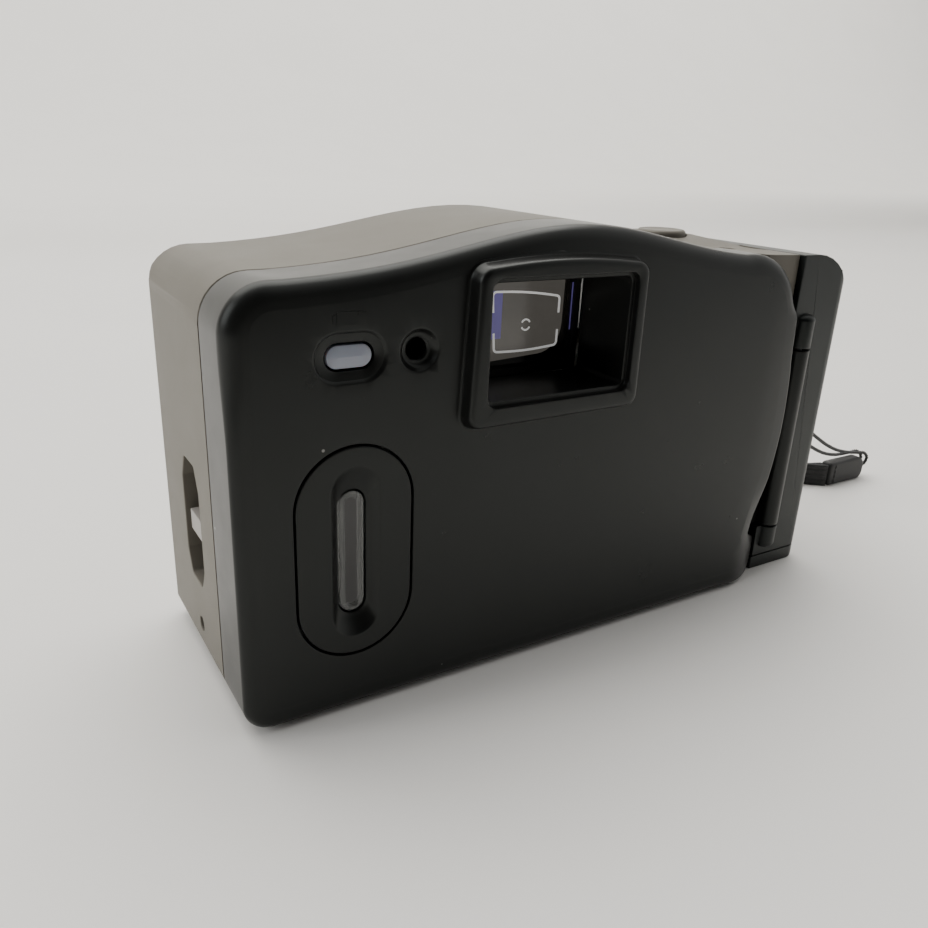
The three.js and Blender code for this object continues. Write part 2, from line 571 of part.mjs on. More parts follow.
function sprocket() {
  const { u, w } = SPROCKET;
  const wheels = [13.4, 42].map((z) => {
    const rim = upright(u, w, 3.3, z - 0.9, z + 0.9, 16);
    const teeth = [];
    for (let k = 0; k < 8; k += 1) {
      const angle = (2 * Math.PI * k) / 8;
      const tooth = new THREE.BoxGeometry(1.4, 0.8, 1);
      tooth.translate(3.3, 0, 0);
      tooth.rotateZ(angle);
      tooth.translate(X(u), Y(w), z);
      teeth.push(solid(tooth));
    }
    return join(rim, ...teeth);
  });
  return cut(join(upright(u, w, 2.2, 7.4, 43.4, 16), ...wheels), upright(u, w, 1.2, 7, 10.6, 10));
}
add('film_sprocket', sprocket(), DARK);

function rewindFork() {
  const { u, w, z1 } = CARTRIDGE;
  return join(
    upright(u, w, 2, z1 - 3.6, 57.6, 16),
    block(u - 3, u + 3, w - 0.6, w + 0.6, z1 - 4.2, z1 - 0.4),
    gear(u, w, 18, 57.4, 59.2, 0),
  );
}
add('rewind_fork', rewindFork(), STEEL);
add('rewind_button', join(
  towardsBack(REWIND.u, REWIND.z, 1.35, -17.9, -5, 14),
  towardsBack(REWIND.u, REWIND.z, 1.75, -18, -17.2, 16),
), DARK);

// ---- power ----
const BATTERY_Z = 3.6;
const batteryTop = BATTERY_Z + BATTERY.height;
add('battery', join(
  upright(BATTERY.u, BATTERY.w, BATTERY.r - 0.3, BATTERY_Z, batteryTop - 1, 28),
  upright(BATTERY.u, BATTERY.w, 3, batteryTop - 1.2, batteryTop, 16),
), WHITE);
add('battery_contact', join(
  block(BATTERY.u - 3.5, BATTERY.u + 3.5, BATTERY.w - 3, BATTERY.w + 3, batteryTop + 1.6, batteryTop + 2.1),
  upright(BATTERY.u, BATTERY.w, 0.8, batteryTop + 0.3, batteryTop + 1.8, 14, 2.4),
), STEEL);

// ---- shutter and lens ----
const at = (w0, w1, r, sides, rBack) => towardsBack(LENS.u, LENS.z, r, w0, w1, sides, rBack);
const SHUTTER_W = { housing: -31, left: -31.8, right: -32.5 };
const BLADE_PIVOT = { du: 10, dz: 9.5, r: 0.7 };
add('lens_ring', cut(at(-48, -41, LENS.r, 48, LENS.r), at(-49, -40, 12.4, 40)), DARK);
add('lens_barrel', cut(
  at(-46.4, -33.4, 12, 40),
  at(-47, -41.6, 10.2, 32, 7.2),
  at(-42, -33, 6.6, 28),
), DARK);
add('front_lens', at(-41, -37.4, 6.2, 28), CLEAR);
const bladePivots = [-1, 1].map((side) => ({ u: LENS.u + side * BLADE_PIVOT.du, z: LENS.z + BLADE_PIVOT.dz }));
add('shutter_housing', cut(
  join(
    plateAlongY(roundedRect(38.5, 70.5, 16.5, 46, 2, 3), SHUTTER_W.housing, -28.2),
    ...bladePivots.map(({ u, z }) => towardsBack(u, z, BLADE_PIVOT.r, -33, -30.5, 10)),
  ),
  at(-32, -27, 6.4, 24),
), DARK);
add('rear_lens', at(-30.6, -28.6, 6, 24), CLEAR);

function blade(side, w) {
  const pivot = bladePivots[side < 0 ? 0 : 1];
  const { u, z } = LENS;
  const points = [[pivot.u + side * 1.5, pivot.z + 0.8], [pivot.u - side * 1.2, pivot.z + 1.5], [u - side * 5, z + 3.2],
    [u - side * 5, z - 4.6], [u + side * 3, z - 5.4], [u + side * 6.2, z - 1.4]];
  return cut(plateAlongY(points, w, w + 0.4), towardsBack(pivot.u, pivot.z, BLADE_PIVOT.r + 0.25, w - 1, w + 1, 12));
}
add('shutter_blade_left', blade(-1, SHUTTER_W.left), DARK);
add('shutter_blade_right', blade(1, SHUTTER_W.right), DARK);

// ---- viewfinder ----
const finderPane = (w0, w1) =>
  plateAlongY(roundedRect(EYE.u0 + 0.8, EYE.u1 - 0.8, EYE.z0 + 1.2, EYE.z1 - 1.2, 2, 4), w0, w1);
add('viewfinder_tube', cut(
  block(FINDER.u0, FINDER.u1, -35.4, -12.2, FINDER.z0, FINDER.z1),
  block(FINDER.u0 + 1.2, FINDER.u1 - 1.2, -40, -10, FINDER.z0 + 1.2, FINDER.z1 - 1.2),
), DARK);
add('eyepiece_lens', finderPane(-15.4, -12.8), CLEAR);
add('bright_line_plate', finderPane(-23, -22.2), CLEAR);
add('objective_lens', finderPane(-34, -32.4), CLEAR);

// a piece that closes a hole in the front, following the leaning panel
const frontSkin = cut(envelope(0.4, silverPlan(0.4), 0), envelope(2.2, silverPlan(2.2), 0));
const squarePane = ({ u0, u1, z0, z1 }) => block(u0, u1, -60, -30, z0, z1).intersect(frontSkin);
const roundPane = ({ u, z, r }) => towardsBack(u, z, r, -60, -30, 28).intersect(frontSkin);
add('viewfinder_window', squarePane(FINDER), CLEAR);
add('flash_window', squarePane(FLASH), CLEAR);
add('autofocus_emitter', roundPane(SPOTS.emitter), CLEAR);
add('autofocus_receiver', roundPane(SPOTS.receiver), CLEAR);
add('self_timer_lamp', roundPane(SPOTS.timer), WHITE);

// ---- flash and electronics ----
add('flash_reflector', cut(
  block(FLASH.u0 + 0.4, FLASH.u1 - 0.4, -36.4, -27, FLASH.z0 + 0.4, FLASH.z1 - 0.6),
  plateAlongX([[-37, 61.2], [-29, 58.8], [-28.2, 57], [-29, 55], [-37, 52.4]], FLASH.u0 + 1.6, FLASH.u1 - 1.6),
), STEEL);
add('flash_tube', acrossBody(-31, 57, 1.3, FLASH.u0 + 2.2, FLASH.u1 - 2.2), CLEAR);
add('flash_capacitor', acrossBody(-36, 10.4, 5.2, 40, 75, 24), DARK);
add('main_circuit_board', block(9, 33.5, -35, -19, 60.6, 61.8), GREEN);

// ---- top controls ----
add('shutter_button', join(
  upright(SHUTTER.u, SHUTTER.w, SHUTTER.r, 67, CONTROL_TOP + 0.8, 28),
  upright(SHUTTER.u, SHUTTER.w, 6, 66.2, 67.2, 28),
), SILVER);
Object.entries(SMALL_BUTTONS).forEach(([name, { u, w }]) => {
  const top = crownZ(u) - 0.25;
  add(name, join(upright(u, w, SMALL_R, top - 3.4, top, 14), upright(u, w, 1.9, top - 4.4, top - 3.2, 14)), DARK);
});
const counterBlock = (below, above) => block(COUNTER.u0, COUNTER.u1, COUNTER.w0, COUNTER.w1,
  CONTROL_TOP - below, CONTROL_TOP - above);
add('counter_window', counterBlock(1.2, 0.1), CLEAR);
add('counter_display', counterBlock(3.4, 1.7), DARK);

// ---- wrist strap ----
const STRAP = { width: 6, thickness: 1.2, z: 0.1 };
const TAB = { u0: 173, u1: 188, w: -30, height: 6.5, thickness: 3.4 };
const CORD_R = 0.5;

// the webbing stands on edge and runs round behind the body, from the tab and back to it
const WEBBING = [[172.5, -31.2], [164, -34.4], [150, -41.5], [136, -50], [120, -57.5], [102, -62], [84, -63.5],
  [67, -64], [54, -67], [48.5, -75], [52.5, -83.5], [63, -87.6], [80, -87.4], [98, -85], [116, -79.5],
  [133, -70], [148, -58], [160, -45], [166.8, -34], [172.4, -28.9]];

function webbing() {
  const route = new THREE.CatmullRomCurve3(WEBBING.map(([u, w]) => new THREE.Vector3(u, w, 0)), false, 'centripetal');
  const steps = 74;
  const half = STRAP.thickness / 2;
  const sides = [[], []];
  for (let k = 0; k <= steps; k += 1) {
    const point = route.getPointAt(k / steps);
    const along = route.getTangentAt(k / steps);
    sides[0].push([point.x - along.y * half, point.y + along.x * half]);
    sides[1].push([point.x + along.y * half, point.y - along.x * half]);
  }
  return plateAlongZ([...sides[0], ...sides[1].reverse()], STRAP.z, STRAP.z + STRAP.width);
}
add('strap_webbing', webbing(), WEAVE);

add('strap_tab', plateAlongZ(rounded([
  [TAB.u0, TAB.w - TAB.thickness / 2, 0.5], [TAB.u1, TAB.w - TAB.thickness / 2, 1.6],
  [TAB.u1, TAB.w + TAB.thickness / 2, 1.6], [TAB.u0, TAB.w + TAB.thickness / 2, 0.5],
], 4), 0, TAB.height), WEAVE);

// each strand leaves the lug pin on its own side and drops to the far end of the tab
const STRANDS = {
  strap_cord_upper: [[125.5, -18, 32.5], [125.9, -16.9, 32.7], [127.2, -16.3, 32.9], [128.8, -16.7, 32.9],
    [131.5, -17.7, 32.2], [136, -19, 30], [142, -20.4, 26.6], [149, -22, 22.6], [157, -23.8, 18.2], [165, -25.7, 14.2],
    [173, -27.6, 10.9], [180, -28.9, 8.8], [185, -29.2, 7.8], [188.6, -29.3, 7.1], [190.4, -29.4, 5.4],
    [189.9, -29.5, 3.9], [188.5, -29.5, 3.4]],
  strap_cord_lower: [[125.5, -18, 31.2], [125.9, -19.1, 31], [127.2, -19.7, 30.7], [128.8, -19.5, 30.5],
    [131.5, -19.6, 29.6], [136, -20.5, 27.2], [142, -21.8, 23.7], [149, -23.4, 19.7], [157, -25.3, 15.4],
    [165, -27.3, 11.8], [172, -29.3, 9.3], [178, -30.5, 7.9], [183.5, -30.9, 7.5], [187.6, -31, 7.3], [189.9, -31, 5.6],
    [190, -31, 3.6], [188.5, -31, 2.4]],
};
Object.entries(STRANDS).forEach(([name, points]) => {
  const path = new THREE.CatmullRomCurve3(points.map(([u, w, z]) => new THREE.Vector3(X(u), Y(w), z)));
  const section = new THREE.Shape();
  for (let k = 0; k < 8; k += 1) {
    const angle = (Math.PI / 4) * k;
    const place = [CORD_R * Math.cos(angle), CORD_R * Math.sin(angle)];
    if (k === 0) section.moveTo(...place); else section.lineTo(...place);
  }
  section.closePath();
  add(name, solid(new THREE.ExtrudeGeometry(section, { extrudePath: path, steps: 40, bevelEnabled: false })), WEAVE);
});

// ---- casing screws ----
SCREWS.forEach(([u, w], i) => {
  add(`bottom_screw_${i + 1}`, join(upright(u, w, 1.6, 0.6, 1.6, 14), upright(u, w, 0.7, 1.5, 4.6, 10)), STEEL);
});

export default camera;
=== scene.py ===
# %% [markdown]
# # A compact autofocus camera, finished piece by piece
# The camera is a silver casing with a black film door at its back, a black hand grip at one end and a thin
# wrist strap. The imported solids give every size, so the lesson starts by loading them. A CAD node is never
# moved or reshaped: it gets a better material, or a finer piece stands for it.

# %% Load the frame
import json
import math

import bmesh
import bpy
from mathutils import Matrix, Vector
from mathutils.geometry import delaunay_2d_cdt


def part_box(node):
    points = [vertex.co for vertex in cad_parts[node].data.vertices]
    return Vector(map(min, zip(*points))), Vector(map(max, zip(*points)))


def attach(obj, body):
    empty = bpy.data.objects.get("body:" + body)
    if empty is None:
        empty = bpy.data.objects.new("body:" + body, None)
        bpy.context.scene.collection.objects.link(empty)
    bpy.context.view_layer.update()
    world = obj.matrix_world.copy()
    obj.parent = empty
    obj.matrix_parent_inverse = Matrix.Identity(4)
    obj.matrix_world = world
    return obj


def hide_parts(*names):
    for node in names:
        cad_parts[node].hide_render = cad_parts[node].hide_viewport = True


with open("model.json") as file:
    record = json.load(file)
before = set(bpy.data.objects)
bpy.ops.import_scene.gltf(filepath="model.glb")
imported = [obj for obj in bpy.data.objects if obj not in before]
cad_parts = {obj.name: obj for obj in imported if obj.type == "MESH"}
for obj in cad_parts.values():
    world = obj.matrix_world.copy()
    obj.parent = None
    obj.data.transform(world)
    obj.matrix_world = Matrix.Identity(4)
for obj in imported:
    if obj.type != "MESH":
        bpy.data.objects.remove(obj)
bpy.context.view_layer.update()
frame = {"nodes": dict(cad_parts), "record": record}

MM = 0.001
NODES = frame["nodes"]
BODY_OF = {node: body for body, nodes in frame["record"]["behaviour"]["bodies"].items() for node in nodes}
EYE_PROUD = 2.5
FLANK_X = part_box("top_front_shell")[1].x
DOOR_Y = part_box("back_cover")[1].y - EYE_PROUD * MM

# %% [markdown]
# All places below are in millimetres as a camera maker would measure them: across from the latch flank, out
# from the flat back of the film door (the front is negative), and up from the table. One function turns such
# a place into the frame's metres.

# %% Places
def place(across, out, up):
    return Vector((FLANK_X - across * MM, DOOR_Y + out * MM, up * MM))


def extent(node):
    """A node's box as (across0, across1, out0, out1, up0, up1) in millimetres."""
    low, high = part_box(node)
    return ((FLANK_X - high.x) / MM, (FLANK_X - low.x) / MM, (low.y - DOOR_Y) / MM, (high.y - DOOR_Y) / MM,
            low.z / MM, high.z / MM)


print("film door spans", [round(v, 1) for v in extent("back_cover")])

# %% [markdown]
# ## The camera that looks
# The view is from behind, a little from the latch side and from above, at arm's length with a short
# telephone lens. A camera object looks along its own -Z, so its matrix is built from the three directions.

# %% Viewing camera
EYE_PLACE = Vector((0.0922, 0.12505, 0.0847))
LOOK = Vector((-0.494, -0.793, -0.356)).normalized()
SIDEWAYS = Vector((-0.856, 0.515, 0.039))
SIDEWAYS = (SIDEWAYS - SIDEWAYS.dot(LOOK) * LOOK).normalized()
UPWARDS = SIDEWAYS.cross(LOOK)
view_data = bpy.data.cameras.new("view")
view_data.lens, view_data.sensor_width, view_data.clip_start = 32.47, 36.0, 0.01
view = bpy.data.objects.new("view", view_data)
view.matrix_world = Matrix.Translation(EYE_PLACE) @ Matrix((
    (SIDEWAYS.x, UPWARDS.x, -LOOK.x), (SIDEWAYS.y, UPWARDS.y, -LOOK.y), (SIDEWAYS.z, UPWARDS.z, -LOOK.z),
)).to_4x4()
bpy.context.scene.collection.objects.link(view)
bpy.context.scene.camera = view
print("looking along", [round(c, 3) for c in LOOK])

# %% [markdown]
# ## Finishes
# Each finish is one Principled shader with three patterns on Object coordinates: a slow cloud that shifts
# the colour, a fine grain that lifts and lowers the surface, and a cloud in the roughness. Constant values
# stay on the shader's own sockets, so that they survive an export.

# %% Finish helper
def finish(name, colour, rough, metal=0.0, shade=0.12, cloud=60, grain=1800, bump=0.02, bump_mm=0.05,
           rough_swing=0.06, dust=0.0, **sockets):
    material = bpy.data.materials.new(name)
    material.use_nodes = True
    nodes, links = material.node_tree.nodes, material.node_tree.links
    shader = nodes["Principled BSDF"]
    coords = nodes.new("ShaderNodeTexCoord")

    def noise(scale, detail):
        cloud_node = nodes.new("ShaderNodeTexNoise")
        cloud_node.inputs["Scale"].default_value = scale
        cloud_node.inputs["Detail"].default_value = detail
        links.new(coords.outputs["Object"], cloud_node.inputs["Vector"])
        return cloud_node.outputs["Fac"]

    ramp = nodes.new("ShaderNodeValToRGB")
    for stop, tone, at in zip(ramp.color_ramp.elements, (1 - shade, 1 + shade), (0.3, 0.7)):
        stop.position = at
        stop.color = (*(min(1.0, c * tone) for c in colour), 1)
    links.new(noise(cloud, 3), ramp.inputs["Fac"])
    colour_out = ramp.outputs["Color"]
    if dust:
        specks = nodes.new("ShaderNodeTexVoronoi")
        specks.inputs["Scale"].default_value = 120
        links.new(coords.outputs["Object"], specks.inputs["Vector"])
        few = nodes.new("ShaderNodeMapRange")
        few.inputs["From Min"].default_value, few.inputs["From Max"].default_value = 0.035, 0.02
        few.inputs["To Max"].default_value = dust
        links.new(specks.outputs["Distance"], few.inputs["Value"])
        blend = nodes.new("ShaderNodeMix")
        blend.data_type = "RGBA"
        blend.inputs["B"].default_value = (0.5, 0.49, 0.46, 1)
        links.new(few.outputs["Result"], blend.inputs["Factor"])
        links.new(colour_out, blend.inputs["A"])
        colour_out = blend.outputs["Result"]
    links.new(colour_out, shader.inputs["Base Color"])
    spread = nodes.new("ShaderNodeMapRange")
    spread.inputs["To Min"].default_value = rough - rough_swing
    spread.inputs["To Max"].default_value = rough + rough_swing
    links.new(noise(cloud * 4, 4), spread.inputs["Value"])
    links.new(spread.outputs["Result"], shader.inputs["Roughness"])
    lift = nodes.new("ShaderNodeBump")
    lift.inputs["Strength"].default_value = bump
    lift.inputs["Distance"].default_value = bump_mm * MM
    links.new(noise(grain, 2), lift.inputs["Height"])
    links.new(lift.outputs["Normal"], shader.inputs["Normal"])
    shader.inputs["Metallic"].default_value = metal
    for socket, value in sockets.items():
        shader.inputs[socket.replace("_", " ")].default_value = value
    return material


# %% The finishes of this camera
SILVER = finish("silver paint", (0.142, 0.131, 0.11), 0.5, metal=0.12, shade=0.04, cloud=25, grain=9000,
                bump=0.12,
                Specular_IOR_Level=0.4, Specular_Tint=(1.0, 0.97, 0.9, 1))
BLACK = finish("black satin plastic", (0.0075, 0.0077, 0.0074), 0.3, shade=0.2, cloud=40, grain=5200,
               bump=0.08, dust=0.5,
               Specular_IOR_Level=0.28, Specular_Tint=(0.95, 1.0, 0.97, 1))
# Its blue-green tint over the door's black is painted sheen: the same plastic as the door, tinted for the grip's
# reflections. Its pale specks are dust.
GRIP_WITH_PAINTED_SHEEN = finish("black grip plastic with painted sheen", (0.0075, 0.0092, 0.009), 0.38, shade=0.2, cloud=40, grain=5200, bump=0.14,
              dust=0.3,
              Specular_IOR_Level=0.36, Specular_Tint=(0.95, 1.0, 0.97, 1))
INNER = finish("matt inner plastic", (0.008, 0.008, 0.0085), 0.62, shade=0.25, grain=2500, bump=0.15)
DARK_METAL = finish("blackened metal", (0.02, 0.02, 0.021), 0.42, metal=0.3, grain=2600, bump=0.1)
STEEL = finish("steel", (0.52, 0.52, 0.53), 0.3, metal=1.0, shade=0.08, grain=3000, bump=0.05)
BRASS = finish("brass", (0.62, 0.43, 0.17), 0.32, metal=1.0, shade=0.1, grain=3000, bump=0.05)
LIGHT = finish("light grey plastic", (0.5, 0.5, 0.48), 0.45, shade=0.05, grain=2500, bump=0.06)
LATCH_FINISH = finish("latch plastic", (0.34, 0.32, 0.3), 0.42, shade=0.06, grain=2500, bump=0.06)
SLEEVE = finish("capacitor sleeve", (0.02, 0.02, 0.04), 0.25, shade=0.1)
BOARD = finish("circuit board", (0.02, 0.13, 0.06), 0.4, shade=0.3, cloud=300)
FOAM = finish("door seal foam", (0.018, 0.018, 0.019), 0.95, shade=0.4, cloud=900, grain=2600, bump=0.8,
              bump_mm=0.2)
LAMP = finish("pale lamp plastic", (0.28, 0.3, 0.36), 0.3, shade=0.08, cloud=90, bump=0.02,
              Subsurface_Weight=0.15, Subsurface_Scale=0.002)
GLASS = finish("clear glass", (0.93, 0.96, 0.97), 0.04, shade=0.01, rough_swing=0.01, bump=0.0,
               Transmission_Weight=1.0, IOR=1.5, Coat_Weight=0.2)
WINDOW = finish("clear window plastic", (0.82, 0.84, 0.82), 0.12, shade=0.02, rough_swing=0.04, bump=0.05,
                Transmission_Weight=0.9, IOR=1.49)
RED_LAMP = finish("red lamp plastic", (0.4, 0.02, 0.02), 0.2, shade=0.1, Transmission_Weight=0.4)
# The marks' emission is painted light: they glow though they are no lamp, standing in for the light that comes through
# the finder.
PAINTED_GLOW_MARKS = finish("white finder marks with painted glow", (0.9, 0.9, 0.88), 0.5, shade=0.02, Emission_Strength=0.35,
               Emission_Color=(0.9, 0.9, 0.88, 1))
# Its emission is a painted reflection: the glowing violet glint of the eyepiece coating and the bright rim in the
# finder.
PAINTED_GLINT = finish("painted violet glint", (0.16, 0.13, 0.42), 0.2, shade=0.15, Emission_Strength=0.12,
                Emission_Color=(0.35, 0.3, 0.8, 1))
# The glass's near-black colour is painted shade: it stands for the dark inside of the finder seen through a clear
# eyepiece.
SHADE_DARKENED_EYE_GLASS = finish("eyepiece glass", (0.034, 0.031, 0.027), 0.1, shade=0.25, cloud=60, rough_swing=0.03,
                   bump=0.0,
                   Transmission_Weight=0.15, Coat_Weight=0.5, Coat_Roughness=0.05)
# A glowing plane is painted light: its emission stands in for the dim view seen through the finder.
PAINTED_FINDER_VIEW = finish("painted view in the finder", (0.03, 0.028, 0.025), 0.15, shade=0.3, cloud=220, bump=0.0,
                      Emission_Strength=1.0,
                      Emission_Color=(0.056, 0.052, 0.046, 1))
DARK_GLASS = finish("dark cartridge window", (0.03, 0.029, 0.029), 0.12, shade=0.2, rough_swing=0.04,
                    bump=0.02, Transmission_Weight=0.2)
KEEPER = finish("folded strap keeper", (0.011, 0.0115, 0.012), 0.62, shade=0.3, cloud=300, grain=4000,
                bump=0.4, bump_mm=0.1,
                Sheen_Weight=0.2)
THREAD = finish("stitching thread", (0.02, 0.02, 0.021), 0.7, shade=0.2, cloud=900, grain=9000, bump=0.3)
CELL = finish("battery jacket", (0.34, 0.35, 0.36), 0.35, metal=0.4, shade=0.05)
print(len(bpy.data.materials), "finishes")

# %% [markdown]
# ## The wrist strap
# A strap like this has two thin twisted cords that loop round the lug, a small keeper that joins them to the
# webbing, and a flat webbing loop for the wrist. The cords and the webbing follow the same routes as the
# solids they stand for, so the routes come first, as points in millimetres.

# %% Strap routes
CORD_ROUTES = {
    "strap_cord_upper": [
        (125.5, -18, 32.5), (125.9, -16.9, 32.7), (127.2, -16.3, 32.9), (128.8, -16.7, 32.9),
        (131.5, -17.7, 32.2),
        (136, -19, 30), (142, -20.4, 26.6), (149, -22, 22.6), (157, -23.8, 18.2), (165, -25.7, 14.2),
        (173, -27.6, 10.9), (180, -28.9, 8.8), (185, -29.2, 7.8), (188.6, -29.3, 7.1), (190.4, -29.4, 5.4),
        (189.9, -29.5, 3.9), (188.5, -29.5, 3.4)],
    "strap_cord_lower": [
        (125.5, -18, 31.2), (125.9, -19.1, 31), (127.2, -19.7, 30.7), (128.8, -19.5, 30.5),
        (131.5, -19.6, 29.6),
        (136, -20.5, 27.2), (142, -21.8, 23.7), (149, -23.4, 19.7), (157, -25.3, 15.4), (165, -27.3, 11.8),
        (172, -29.3, 9.3), (178, -30.5, 7.9), (183.5, -30.9, 7.5), (187.6, -31, 7.3), (189.9, -31, 5.6),
        (190, -31, 3.6), (188.5, -31, 2.4)],
}
WEBBING_MID = 3.1
WEBBING_ROUTE = [(u, w, WEBBING_MID) for u, w in (
    (172.5, -31.2), (164, -34.4), (150, -41.5), (136, -50), (120, -57.5), (102, -62), (84, -63.5), (67, -64),
    (54, -67), (48.5, -75), (52.5, -83.5), (63, -87.6), (80, -87.4), (98, -85), (116, -79.5), (133, -70),
    (148, -58), (160, -45), (166.8, -34), (172.4, -28.9))]


def smooth_path(route, pieces):
    """Points evenly spaced along the smooth curve through a route, in metres (centripetal Catmull-Rom)."""
    given = [place(*p) for p in route]
    ends = [2 * given[0] - given[1], *given, 2 * given[-1] - given[-2]]
    fine = []
    for a, b, c, d in zip(ends, ends[1:], ends[2:], ends[3:]):
        t0, t1 = 0.0, (b - a).length ** 0.5
        t2 = t1 + (c - b).length ** 0.5
        t3 = t2 + (d - c).length ** 0.5
        for k in range(12):
            t = t1 + (t2 - t1) * k / 12
            ab, bc, cd = a.lerp(b, (t - t0) / (t1 - t0)), b.lerp(c, (t - t1) / (t2 - t1)), c.lerp(d,
                                                                                                  (t - t2) / (t3 - t2))
            fine.append(ab.lerp(bc, (t - t0) / (t2 - t0)).lerp(bc.lerp(cd, (t - t1) / (t3 - t1)),
                                                               (t - t1) / (t2 - t1)))
    fine.append(given[-1])
    run = [0.0]
    for a, b in zip(fine, fine[1:]):
        run.append(run[-1] + (b - a).length)
    out, i = [], 0
    for k in range(pieces + 1):
        want = run[-1] * k / pieces
        while i < len(run) - 2 and run[i + 1] < want:
            i += 1
        out.append(fine[i].lerp(fine[i + 1], (want - run[i]) / max(run[i + 1] - run[i], 1e-9)))
    return out, run[-1]


# %% Sweeping a section along a path
def new_piece(name, points, faces, material, smooth=True):
    mesh = bpy.data.meshes.new(name)
    mesh.from_pydata(points, [], faces)
    mesh.materials.append(material)
    mesh.validate()
    piece = bpy.data.objects.new(name, mesh)
    bpy.context.scene.collection.objects.link(piece)
    if smooth:
        mesh.shade_smooth()
    return piece


def frames_along(path):
    """A level side direction and an upward direction at every point of a path."""
    made = []
    for i, point in enumerate(path):
        ahead = (path[min(i + 1, len(path) - 1)] - path[max(i - 1, 0)]).normalized()
        side = ahead.cross(Vector((0, 0, 1)))
        side = side.normalized() if side.length > 1e-4 else Vector((1, 0, 0))
        if made and side.dot(made[-1][1]) < 0:
            side = -side
        made.append((point, side, side.cross(ahead)))
    return made


def sweep(path, section, closed=True):
    """Points and faces of a section of (side, up) metres carried along a path, its ends capped."""
    points, faces, n = [], [], len(section(0))
    for i, (point, side, up) in enumerate(frames_along(path)):
        points += [point + side * a + up * b for a, b in section(i)]
    for i in range(len(path) - 1):
        for k in range(n):
            a, b = i * n + k, i * n + (k + 1) % n
            faces.append((a, b, b + n, a + n))
    faces += [tuple(range(n))[::-1], tuple(range(len(points) - n, len(points)))]
    return points, faces


# %% The two twisted cords
CORD_MM, CORD_STEPS, YARN_SIDES = 1.0, 190, 7
STRAND = finish("twisted cord", (0.014, 0.0145, 0.015), 0.6, shade=0.3, cloud=500, grain=7000, bump=0.5,
                bump_mm=0.08,
                Sheen_Weight=0.3, Sheen_Roughness=0.4)


def twisted_cord(name):
    """Three yarns laid round one another, so close that they overlap in the middle."""
    path, length = smooth_path(CORD_ROUTES[name], CORD_STEPS)
    yarn, lay, pitch = 0.25 * CORD_MM * MM, 0.245 * CORD_MM * MM, 2.6 * MM
    points, faces = [], []
    for ply in range(3):
        def section(i, ply=ply):
            turn = 2 * math.pi * (ply / 3 + length * i / CORD_STEPS / pitch)
            mid = (lay * math.cos(turn), lay * math.sin(turn))
            angles = [math.tau * k / YARN_SIDES for k in range(YARN_SIDES)]
            return [(mid[0] + yarn * math.cos(a), mid[1] + yarn * math.sin(a)) for a in angles]
        p, f = sweep(path, section)
        faces += [tuple(i + len(points) for i in face) for face in f]
        points += p
    piece = new_piece(name + "_twist", points, faces, STRAND)
    return piece, path, length


cords = {name: twisted_cord(name) for name in CORD_ROUTES}
print({name: round(length / MM, 1) for name, (piece, path, length) in cords.items()}, "mm of cord")

# %% [markdown]
# The webbing is a woven band, 6 mm wide and 1.2 mm thick, standing on its edge. Its section has thicker
# selvedges, and its UV map runs along it, so the weave follows every bend.

# %% Webbing and its weave
WEBBING_WIDTH, WEBBING_THICK, WEBBING_STEPS = 6.0, 1.2, 220


def weave_finish():
    material = finish("webbing weave", (0.012, 0.0125, 0.013), 0.8, shade=0.3, Sheen_Weight=0.25)
    nodes, links = material.node_tree.nodes, material.node_tree.links
    along = nodes.new("ShaderNodeUVMap")
    along.uv_map = "weave"
    rows = []
    for direction, scale in (("X", 420), ("Y", 22)):
        wave = nodes.new("ShaderNodeTexWave")
        wave.bands_direction = direction
        wave.inputs["Scale"].default_value = scale / 10
        wave.inputs["Distortion"].default_value = 0.4
        links.new(along.outputs["UV"], wave.inputs["Vector"])
        rows.append(wave.outputs["Fac"])
    both = nodes.new("ShaderNodeMath")
    both.operation = "MULTIPLY"
    links.new(rows[0], both.inputs[0])
    links.new(rows[1], both.inputs[1])
    lift = nodes["Bump"]
    lift.inputs["Strength"].default_value = 0.8
    lift.inputs["Distance"].default_value = 0.15 * MM
    links.new(both.outputs[0], lift.inputs["Height"])
    return material


WEAVE = weave_finish()
webbing_path, webbing_length = smooth_path(WEBBING_ROUTE, WEBBING_STEPS)
half_w, half_t = WEBBING_WIDTH / 2 * MM, WEBBING_THICK / 2 * MM
BAND = [(t * half_t, z * half_w) for t, z in (
    (-0.9, -0.96), (0, -1), (0.9, -0.96), (1, -0.86), (0.8, -0.76), (0.8, 0), (0.8, 0.76), (1, 0.86),
    (0.9, 0.96),
    (0, 1), (-0.9, 0.96), (-1, 0.86), (-0.8, 0.76), (-0.8, 0), (-0.8, -0.76), (-1, -0.86))]
band_points, band_faces = sweep(webbing_path, lambda i: BAND)
webbing = new_piece("webbing_band", band_points, band_faces, WEAVE)
uv = webbing.data.uv_layers.new(name="weave")
for loop in webbing.data.loops:
    row, around = divmod(loop.vertex_index, len(BAND))
    uv.data[loop.index].uv = (row / WEBBING_STEPS * webbing_length * 100, BAND[around][1] * 100)
print("webbing", round(webbing_length / MM, 1), "mm")

# %% [markdown]
# ## Shells from rings
# The film door is a thin moulded shell whose outline is no simple box: a humped top, one long bowed side and
# four different corners. A boolean of boxes could give the outline but not its soft shoulders, so the door is
# built from rings: the same outline drawn at many insets, each ring at its own depth. Neighbouring rings are
# joined by walls, and a flat region between rings is filled by a Delaunay triangulation with a fine grid in
# it, which can then follow a gently curved face.

